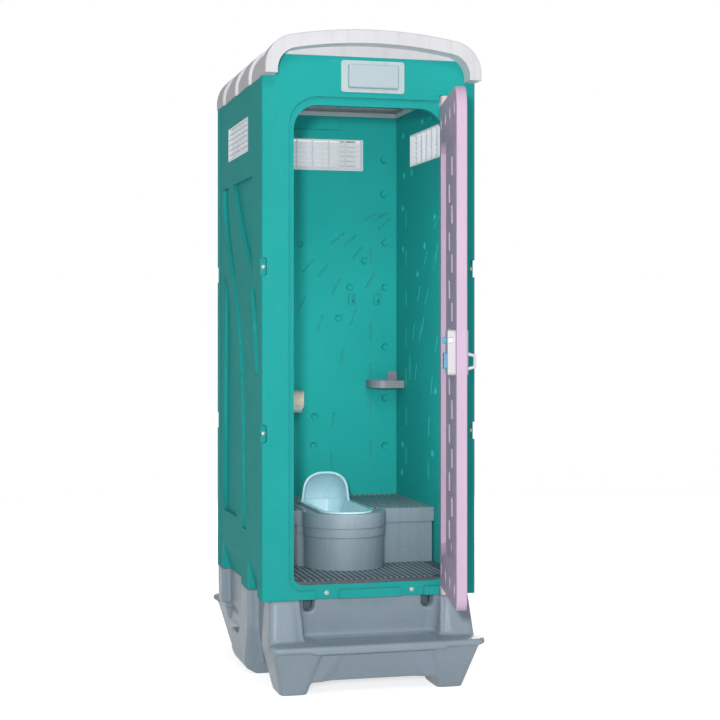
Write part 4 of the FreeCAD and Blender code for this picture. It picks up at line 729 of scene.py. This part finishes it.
# %% Rear wall
REAR_PITS = (
    (0.34, 2.25), (0.34, 2.09), (0.345, 1.86), (-0.065, 1.85), (0.245, 1.775), (0.175, 1.65),
    (0.345, 1.65), (0.12, 1.505), (0.345, 1.37), (0.345, 1.13), (0.005, 1.045), (0.0, 0.91),
    (0.345, 0.905), (-0.31, 2.25), (-0.31, 1.65), (-0.31, 1.13), (-0.2, 1.4),
)
REAR_SWEEPS = (
    (0.115, 1.1, 0.2, 3), (-0.035, 1.1, 0.34, 4), (-0.2, 1.02, 0.5, 4),
    (-0.33, 0.97, 0.58, 4), (0.085, 0.88, -0.04, 2),
)
REAR_ROW = (0.276, 0.89, 2.0)
PLATE_MIDDLE = (-0.012, 2.412)
PLATE_SIZE = (285 * MM, 62 * MM, 6 * MM)
PLATE_TAPER = (0.96, 0.8, 1.0)


def across_rear(x, z, depth):
    """Middle of a cutter that reaches a given depth into the rear wall."""
    return (x, inner_rear + (depth - CLEAR) / 2, z)


def make_rear_wall():
    wall = merged_copy("rear_wall", "rear_panel")
    turn = (-math.pi / 2, 0, 0)
    cutters = [pit_cutter(across_rear(x, z, PIT_DEPTH), turn) for x, z in REAR_PITS]
    rows = []
    for foot, height, first, count in REAR_SWEEPS:
        rows += sweep(foot, height, 1, first, count)
    rows += upright_row(*REAR_ROW)
    for x, z, tilt in apart(rows, REAR_PITS):
        along = (math.sin(tilt), 0, math.cos(tilt))
        cutters.append(slot_cutter(across_rear(x, z, SLOT_DEPTH), along, (0, 1, 0)))
    plate_spot = across_rear(*PLATE_MIDDLE, PLATE_SIZE[2])
    cutters.append(slot_cutter(plate_spot, (0, 0, 1), (0, 1, 0), PLATE_SIZE, PLATE_TAPER))
    return carve(wall, cutters)


# %% [markdown]
# The photograph shows the inside of the right wall only. Its pits and slots were
# measured there, and the left wall takes the same set, which is a guess. The arcs lean
# towards the door. The places were measured with the rear wall at 490 mm from the
# middle, and are shifted to where it stands.

# %% Side walls
SIDE_PITS = (
    (0.374, 2.35), (0.067, 2.38), (-0.063, 2.385), (0.357, 2.165), (0.234, 2.165), (0.38, 2.015),
    (-0.12, 1.94), (0.374, 1.825), (0.028, 1.823), (0.137, 1.70), (-0.137, 1.185), (0.38, 0.92),
    (-0.09, 0.913), (0.39, 0.79),
)
SIDE_SWEEPS = (
    (0.28, 1.03, 0.2, 4), (0.22, 0.92, 0.3, 4), (-0.025, 0.88, -0.04, 5),
    (0.15, 1.02, 0.4, 5), (0.31, 1.0, 0.26, 5),
)
SIDE_ROW = (0.325, 0.87, 2.02)
MEASURED_REAR = 0.49
ROW_SHIFT = inner_rear - MEASURED_REAR


def make_side_wall(name, node, face_x, way):
    """Side wall whose inner face lies at face_x and whose material lies towards way."""
    wall = merged_copy(name, node)
    turn = (0, way * math.pi / 2, 0)
    cutters = []
    for y, z in SIDE_PITS:
        spot = (face_x + way * (PIT_DEPTH - CLEAR) / 2, y + ROW_SHIFT, z)
        cutters.append(pit_cutter(spot, turn))
    rows = upright_row(*SIDE_ROW)
    for foot, height, first, count in SIDE_SWEEPS:
        rows += sweep(foot, height, -1, first, count)
    for y, z, tilt in apart(rows, SIDE_PITS):
        spot = (face_x + way * (SLOT_DEPTH - CLEAR) / 2, y + ROW_SHIFT, z)
        along = (0, math.sin(tilt), math.cos(tilt))
        cutters.append(slot_cutter(spot, along, (way, 0, 0)))
    return settle(carve(wall, cutters), "wall_green", "cabin", node)


settle(make_rear_wall(), "wall_green", "cabin", "rear_panel")
make_side_wall("right_wall", "right_panel", inner_right, 1)
make_side_wall("left_wall", "left_panel", inner_left, -1)

# %% [markdown]
# ## Door relief
# The door's inner tray has a few pits, and columns of strokes that stand proud.
# They are placed on the closed door, where its faces are square to the axes,
# and then turned about the hinge to the angle at which the door stands at rest.

# %% Door
swing = next(row for row in frame["joints"] if row["name"] == "door_swing")
HINGE = Vector(swing["pos_m"])
REST_ANGLE = math.radians(-swing["range_deg"][0])
TRAY_FLOOR = -303.35 * MM
TRAY_LEFT = -265 * MM
TRAY_RIGHT = 265 * MM
TRAY_COLUMNS = ((0.29, 0.66), (0.48, 0.76), (0.8, 0.6))
COLUMN_TOP = 2.1
COLUMN_PITCH = 0.19
STROKE = (8 * MM, 76 * MM, 4.5 * MM)
STROKE_TAPER = (0.5, 0.94, 1.0)
STROKE_LEAN = 0.13
STROKE_ROUNDING = 1 * MM
TRAY_PITS = ((0.66, 2.14), (0.4, 0.6), (0.66, 0.6))


def turned_with_door(piece):
    """Moves a piece from the closed door to the open one."""
    turn = Matrix.Rotation(REST_ANGLE, 4, "Z")
    piece.matrix_world = Matrix.Translation(HINGE) @ turn @ Matrix.Translation(-HINGE)
    alone(piece)
    bpy.ops.object.transform_apply(location=True, rotation=True, scale=True)
    return piece


def tray_x(share):
    """Place across the tray, from 0 at its right side to 1 at its left."""
    return TRAY_RIGHT + share * (TRAY_LEFT - TRAY_RIGHT)


def make_door():
    door = merged_copy("door_leaf", "door_panel")
    turn = (math.pi / 2, 0, 0)
    middle_y = TRAY_FLOOR - (PIT_DEPTH - CLEAR) / 2
    cutters = [pit_cutter((tray_x(share), middle_y, z), turn) for share, z in TRAY_PITS]
    return carve(door, [turned_with_door(joined("cutter", cutters))])


def make_strokes():
    """Raised strokes in columns on the tray's floor, a little sunk into it."""
    upward = (math.sin(STROKE_LEAN), 0, math.cos(STROKE_LEAN))
    bars = []
    for share, foot in TRAY_COLUMNS:
        for x, z, _ in upright_row(tray_x(share), foot, COLUMN_TOP, COLUMN_PITCH):
            middle = (x, TRAY_FLOOR + STROKE[2] / 2, z)
            bars.append(slot_cutter(middle, upward, (0, 1, 0), STROKE, STROKE_TAPER))
    strokes = turned_with_door(joined("door_strokes", bars))
    return smoothed(rounded(strokes, STROKE_ROUNDING))


settle(make_door(), "door_pink", "door", "door_panel")
settle(make_strokes(), "door_pink", "door")

# %% [markdown]
# ## Outer handle
# The pull on the outside is pale, like the plate that carries it, so its solid is
# copied, its edges are rounded and it takes the finish of the lock's case.

# %% Outer handle
HANDLE_ROUNDING = 1.5 * MM
pull = rounded(merged_copy("outer_pull", "outer_handle"), HANDLE_ROUNDING)
settle(smoothed(pull), "lock_white", "door", "outer_handle")

# %% [markdown]
# ## Ribbed treads
# Boots need grip, so the floor and the bench have fields of low ribs that run
# from front to rear. One rib is modelled and an array repeats it at its pitch.

# %% Ribs
RIB_PITCH = 24 * MM
RIB_WIDTH = 13 * MM
RIB_ROUNDING = 1.2 * MM
FLOOR_TOP = 445 * MM
FLOOR_FIELD = 442 * MM
BENCH_TOP = 680 * MM
BENCH_FIELD = 676 * MM
# The ribs are paler than the floor and the bench under them: painted light on their tops.
lit_rib_plastic = plastic("rib plastic with painted light", (140, 155, 165), 0.4, 0.001, dust=0.15, scratches=0.2)


def rib_field(first_x, count, front_y, rear_y, low, high):
    """Row of ribs whose front ends slope down."""
    middle = Vector((first_x, (front_y + rear_y) / 2, (low + high) / 2))
    bar = block(middle, (RIB_WIDTH, rear_y - front_y, high - low))
    pick(bar, "VERT", lambda corner: corner.co.z > middle.z and corner.co.y < middle.y)
    bpy.ops.transform.translate(value=(0, high - low, 0))
    bpy.ops.object.mode_set(mode="OBJECT")
    rounded(bar, RIB_ROUNDING)
    return shaped(
        bar,
        "ARRAY",
        count=count,
        use_relative_offset=False,
        use_constant_offset=True,
        constant_offset_displace=(RIB_PITCH, 0, 0),
    )


print("ribs are", round(RIB_WIDTH / MM), "mm wide at a pitch of", round(RIB_PITCH / MM), "mm")

# %% [markdown]
# The floor has a wide field in the doorway and a narrow one at each side of it,
# which starts behind the front wall. The bench has a field left and right of the bowl.

# %% Floor and bench ribs
DOORWAY_FRONT = span("floor_pan")[0].y + 5 * MM
BESIDE_FRONT = inner_front + 1.5 * MM
FLOOR_REAR = 114 * MM
FLOOR_ROWS = ((-0.264, 23, DOORWAY_FRONT), (-0.36, 4, BESIDE_FRONT), (0.288, 3, BESIDE_FRONT))
BENCH_FRONT = 148 * MM
BENCH_REAR = 700 * MM
BENCH_ROWS = ((0.13, 11), (-0.362, 9))

fields = [rib_field(x, count, y, FLOOR_REAR, FLOOR_FIELD, FLOOR_TOP) for x, count, y in FLOOR_ROWS]
settle(smoothed(joined("floor_ribs", fields)), "floor_grey", "cabin", finish=lit_rib_plastic)
fields = [
    rib_field(x, count, BENCH_FRONT, BENCH_REAR, BENCH_FIELD, BENCH_TOP) for x, count in BENCH_ROWS
]
settle(smoothed(joined("bench_ribs", fields)), "platform_grey", "cabin", finish=lit_rib_plastic)

# %% [markdown]
# A thin dark sheet lies under each field of the bench's ribs: painted shade between the ribs.
# It is a block as wide as the field, with its edges taken off.

# %% Painted shade under the bench ribs
SHEET_THICKNESS = 0.8 * MM
SHEET_EDGE = 0.3 * MM
SHEET_SIDES = ((0.12, 0.39), (-0.375, -0.155))


def sheet(left, right):
    """Thin dark sheet of painted shade under one field of bench ribs, between two places across."""
    middle = ((left + right) / 2, (BENCH_FRONT + BENCH_REAR) / 2, BENCH_FIELD + SHEET_THICKNESS / 2)
    flat = block(middle, (right - left, BENCH_REAR - BENCH_FRONT, SHEET_THICKNESS))
    return shaped(flat, "BEVEL", width=SHEET_EDGE, segments=1)


# A dark sheet under each field of ribs: painted shade.
shade_sheets = joined("bench_shade_sheets", [sheet(left, right) for left, right in SHEET_SIDES])
settle(shade_sheets, "platform_grey", "cabin", finish=painted_shade_plastic)

# %% [markdown]
# ## Hook bosses
# Each coat hook stands on a square boss of the wall. A boss is a block whose face
# is inset and sunk a little, which leaves a raised frame round the hook's plate.

# %% Hook bosses
BOSS_WIDTH = 40 * MM
BOSS_HEIGHT = 48 * MM
BOSS_PROUD = 7 * MM
BOSS_FRAME = 5 * MM
BOSS_FLOOR = 2.5 * MM
BOSS_TAPER = (0.9, 1.0, 0.92)
BOSS_ROUNDING = 1.2 * MM
BOSS_PLACES = ((0.185, 1.595), (0.307, 1.595))


def hook_boss(x, z):
    """One boss on the rear wall, with a raised frame."""
    boss = block((x, inner_rear - BOSS_PROUD / 2, z), (BOSS_WIDTH, BOSS_PROUD, BOSS_HEIGHT))
    pick(boss, "FACE", lambda face: face.normal.y < -0.5)
    bpy.ops.transform.resize(value=BOSS_TAPER)
    bpy.ops.mesh.inset(thickness=BOSS_FRAME)
    bpy.ops.transform.translate(value=(0, BOSS_PROUD - BOSS_FLOOR, 0))
    bpy.ops.object.mode_set(mode="OBJECT")
    return rounded(boss, BOSS_ROUNDING)


bosses = joined("hook_bosses", [hook_boss(x, z) for x, z in BOSS_PLACES])
settle(smoothed(bosses), "wall_green", "cabin")

# %% [markdown]
# ## Bolts
# Domed bolts with washers hold the walls together. One is turned from a cylinder
# by insets that rise to a dome, with a round socket sunk into it. Each bolt is a
# copy of it with its own mesh.

# %% Bolts
BOLT_RADIUS = 6 * MM
WASHER_THICKNESS = 1.6 * MM
CORNER_WASHER = 7.8 * MM
SILL_WASHER = 8.8 * MM
HEAD_RISE = 1.6 * MM
DOME_STEPS = ((0.8 * MM, 0.9 * MM), (1.1 * MM, 0.7 * MM), (1.2 * MM, 0.4 * MM), (0.5 * MM, 0.0))
SOCKET_DEPTH = 2.2 * MM
BOLT_SMOOTH_ANGLE = math.radians(32)
CORNER_X = 433 * MM
CORNER_HEIGHTS = (1037 * MM, 1702 * MM)
SILL_BOLTS = ((-178 * MM, 394 * MM), (178 * MM, 394 * MM))
SEAT_FRONT = front_face + 30 * MM
SEAT_REAR = rear_face - 30 * MM
SEAT_SILL = front_face + 15 * MM


def raise_top(inset, rise):
    """Insets the selected top face and moves it up."""
    bpy.ops.mesh.inset(thickness=inset)
    bpy.ops.transform.translate(value=(0, 0, rise))


def push_top(rise):
    """Extrudes the selected top face up, or down where the rise is negative."""
    bpy.ops.mesh.extrude_region_move(TRANSFORM_OT_translate={"value": (0, 0, rise)})


def bolt_model(washer_radius):
    """One bolt on its washer, standing on the origin with its head up."""
    bpy.ops.object.select_all(action="DESELECT")
    bpy.ops.mesh.primitive_cylinder_add(
        vertices=30,
        radius=washer_radius,
        depth=WASHER_THICKNESS,
        location=(0, 0, WASHER_THICKNESS / 2),
    )
    bolt = bpy.context.active_object
    bpy.ops.object.transform_apply(location=True, rotation=True, scale=True)
    pick(bolt, "FACE", lambda face: face.normal.z > 0.9)
    raise_top(washer_radius - BOLT_RADIUS, 0)
    push_top(HEAD_RISE)
    for inset, rise in DOME_STEPS:
        raise_top(inset, rise)
    push_top(-SOCKET_DEPTH)
    bpy.ops.object.mode_set(mode="OBJECT")
    bpy.ops.object.shade_smooth_by_angle(angle=BOLT_SMOOTH_ANGLE)
    return bolt


def bolts(name, model, places, seat_y, outward):
    """Copies of one bolt, turned to face outward along Y."""
    copies = []
    for x, z in places:
        copy = bpy.data.objects.new(name, model.data.copy())
        bpy.context.scene.collection.objects.link(copy)
        copy.location = (x, seat_y, z)
        copy.rotation_euler = (-outward * math.pi / 2, 0, 0)
        copies.append(copy)
    return joined(name, copies)


corner_places = [(side * CORNER_X, z) for side in (-1, 1) for z in CORNER_HEIGHTS]
small_bolt = bolt_model(CORNER_WASHER)
wide_bolt = bolt_model(SILL_WASHER)
front = bolts("front_bolts", small_bolt, corner_places, SEAT_FRONT, -1)
settle(front, "steel", "cabin", "front_corner_bolts")
rear = bolts("rear_bolts", small_bolt, corner_places, SEAT_REAR, 1)
settle(rear, "steel", "cabin", "rear_corner_bolts")
sill = bolts("sill_bolt_heads", wide_bolt, SILL_BOLTS, SEAT_SILL, -1)
settle(sill, "steel", "cabin", "sill_bolts")
bpy.data.objects.remove(small_bolt)
bpy.data.objects.remove(wide_bolt)

# %% [markdown]
# ## Stage, light and camera
# The floor is one pale sheet, and the world behind it is white to the camera and to
# reflections but dim as a light. The floor glows for the same rays, so that it blends
# into the background and still holds a soft shadow.

# %% Floor
FLOOR_SIZE = 14.0
FLOOR_GREY = (0.8, 0.8, 0.8, 1.0)
FLOOR_GLOW = 0.7


def seen_rays(tree):
    """1 for rays that show a thing to the camera, in glass or in a reflection, else 0."""
    rays = tree.nodes.new("ShaderNodeLightPath")
    seen = math_node(tree, "MAXIMUM", rays.outputs["Is Camera Ray"], rays.outputs["Is Glossy Ray"])
    return math_node(tree, "MAXIMUM", seen, rays.outputs["Is Transmission Ray"])


def make_floor():
    bpy.ops.object.select_all(action="DESELECT")
    bpy.ops.mesh.primitive_plane_add(size=FLOOR_SIZE, location=(0, 0, 0))
    floor = bpy.context.active_object
    floor.name = "ground"
    material, tree, shader = plain_material("pale ground")
    shader.inputs["Base Color"].default_value = FLOOR_GREY
    shader.inputs["Roughness"].default_value = 0.9
    glow = tree.nodes.new("ShaderNodeEmission")
    glow.inputs["Strength"].default_value = FLOOR_GLOW
    both = tree.nodes.new("ShaderNodeAddShader")
    tree.links.new(shader.outputs[0], both.inputs[0])
    tree.links.new(glow.outputs[0], both.inputs[1])
    mix = tree.nodes.new("ShaderNodeMixShader")
    tree.links.new(seen_rays(tree), mix.inputs[0])
    tree.links.new(shader.outputs[0], mix.inputs[1])
    tree.links.new(both.outputs[0], mix.inputs[2])
    tree.links.new(mix.outputs[0], tree.nodes["Material Output"].inputs["Surface"])
    floor.data.materials.append(material)
    print("floor", floor.name, "is", FLOOR_SIZE, "m wide")


make_floor()

# %% [markdown]
# The photograph was lit from beside the camera, which leaves a thin dark band inside
# the doorway's left edge. So a small main lamp stands there. A weaker lamp above gives
# the ledges their shadows, and one behind lights the sides that the camera doesn't see.
# The inside of the real cabin is bright, because its thin walls and roof let daylight
# in. A soft lamp in the doorway, which the camera doesn't see, stands for that. It is
# the only one that isn't square, because it fills a tall opening.

# %% World and lamps
WORLD_LIGHT = 0.28
WHITE = (1, 1, 1, 1)
AIM = (0, 0, 1.3)
LAMPS = (
    ("main lamp", (-1.95, -6.5, 1.85), AIM, 0.3, 235),
    ("top lamp", (-0.3, -4.2, 4.6), (0, 0, 1.4), 1.4, 45),
    ("doorway fill", (0.05, -0.23, 1.4), (0.05, 1, 1.4), 0.6, 3.4),
    ("rear lamp", (2.2, 6.5, 3.2), AIM, 3.0, 160),
)
DOORWAY_LAMP_HEIGHT = 1.5


def make_world():
    world = bpy.data.worlds.new("studio")
    bpy.context.scene.world = world
    world.use_nodes = True
    tree = world.node_tree
    out = tree.nodes["World Output"]
    dim = tree.nodes["Background"]
    dim.inputs["Color"].default_value = WHITE
    dim.inputs["Strength"].default_value = WORLD_LIGHT
    white = tree.nodes.new("ShaderNodeBackground")
    white.inputs["Color"].default_value = WHITE
    white.inputs["Strength"].default_value = 1.0
    mix = tree.nodes.new("ShaderNodeMixShader")
    tree.links.new(seen_rays(tree), mix.inputs[0])
    tree.links.new(dim.outputs[0], mix.inputs[1])
    tree.links.new(white.outputs[0], mix.inputs[2])
    tree.links.new(mix.outputs[0], out.inputs["Surface"])


def lamp(name, place, target, size, power):
    """Square area lamp at a place, turned to face a target."""
    data = bpy.data.lights.new(name, "AREA")
    data.size = size
    data.energy = power
    light = bpy.data.objects.new(name, data)
    bpy.context.scene.collection.objects.link(light)
    light.location = place
    light.rotation_euler = (Vector(target) - Vector(place)).to_track_quat("-Z", "Y").to_euler()
    return light


make_world()
lights = {settings[0]: lamp(*settings) for settings in LAMPS}
doorway = lights["doorway fill"]
doorway.data.shape = "RECTANGLE"
doorway.data.size_y = DOORWAY_LAMP_HEIGHT
doorway.visible_camera = False
print("lamps:", ", ".join(lights), "and a world of", WORLD_LIGHT)

# %% [markdown]
# The camera stands to the left at chest height, with a long lens. It looks level, so
# uprights stay upright, and the lens is shifted a little to frame the cabin.

# %% Camera
CAMERA_PLACE = (-1.674, front_face - 6.283, 1.45)
VIEW_WAY = Vector((0.2512, 0.9679, 0.0))
SENSOR_WIDTH = 36.0
FOCAL_LENGTH = 80.5
FRAME_SIDE = 720
SHIFT_PIXELS = -30


def make_camera():
    data = bpy.data.cameras.new("camera")
    data.sensor_width = SENSOR_WIDTH
    data.lens = FOCAL_LENGTH
    data.shift_y = SHIFT_PIXELS / FRAME_SIDE
    camera = bpy.data.objects.new("camera", data)
    bpy.context.scene.collection.objects.link(camera)
    camera.location = CAMERA_PLACE
    camera.rotation_euler = VIEW_WAY.to_track_quat("-Z", "Y").to_euler()
    bpy.context.scene.camera = camera
    print("camera at", tuple(round(value, 3) for value in camera.location))


make_camera()
bpy.context.scene.view_settings.view_transform = "Standard"
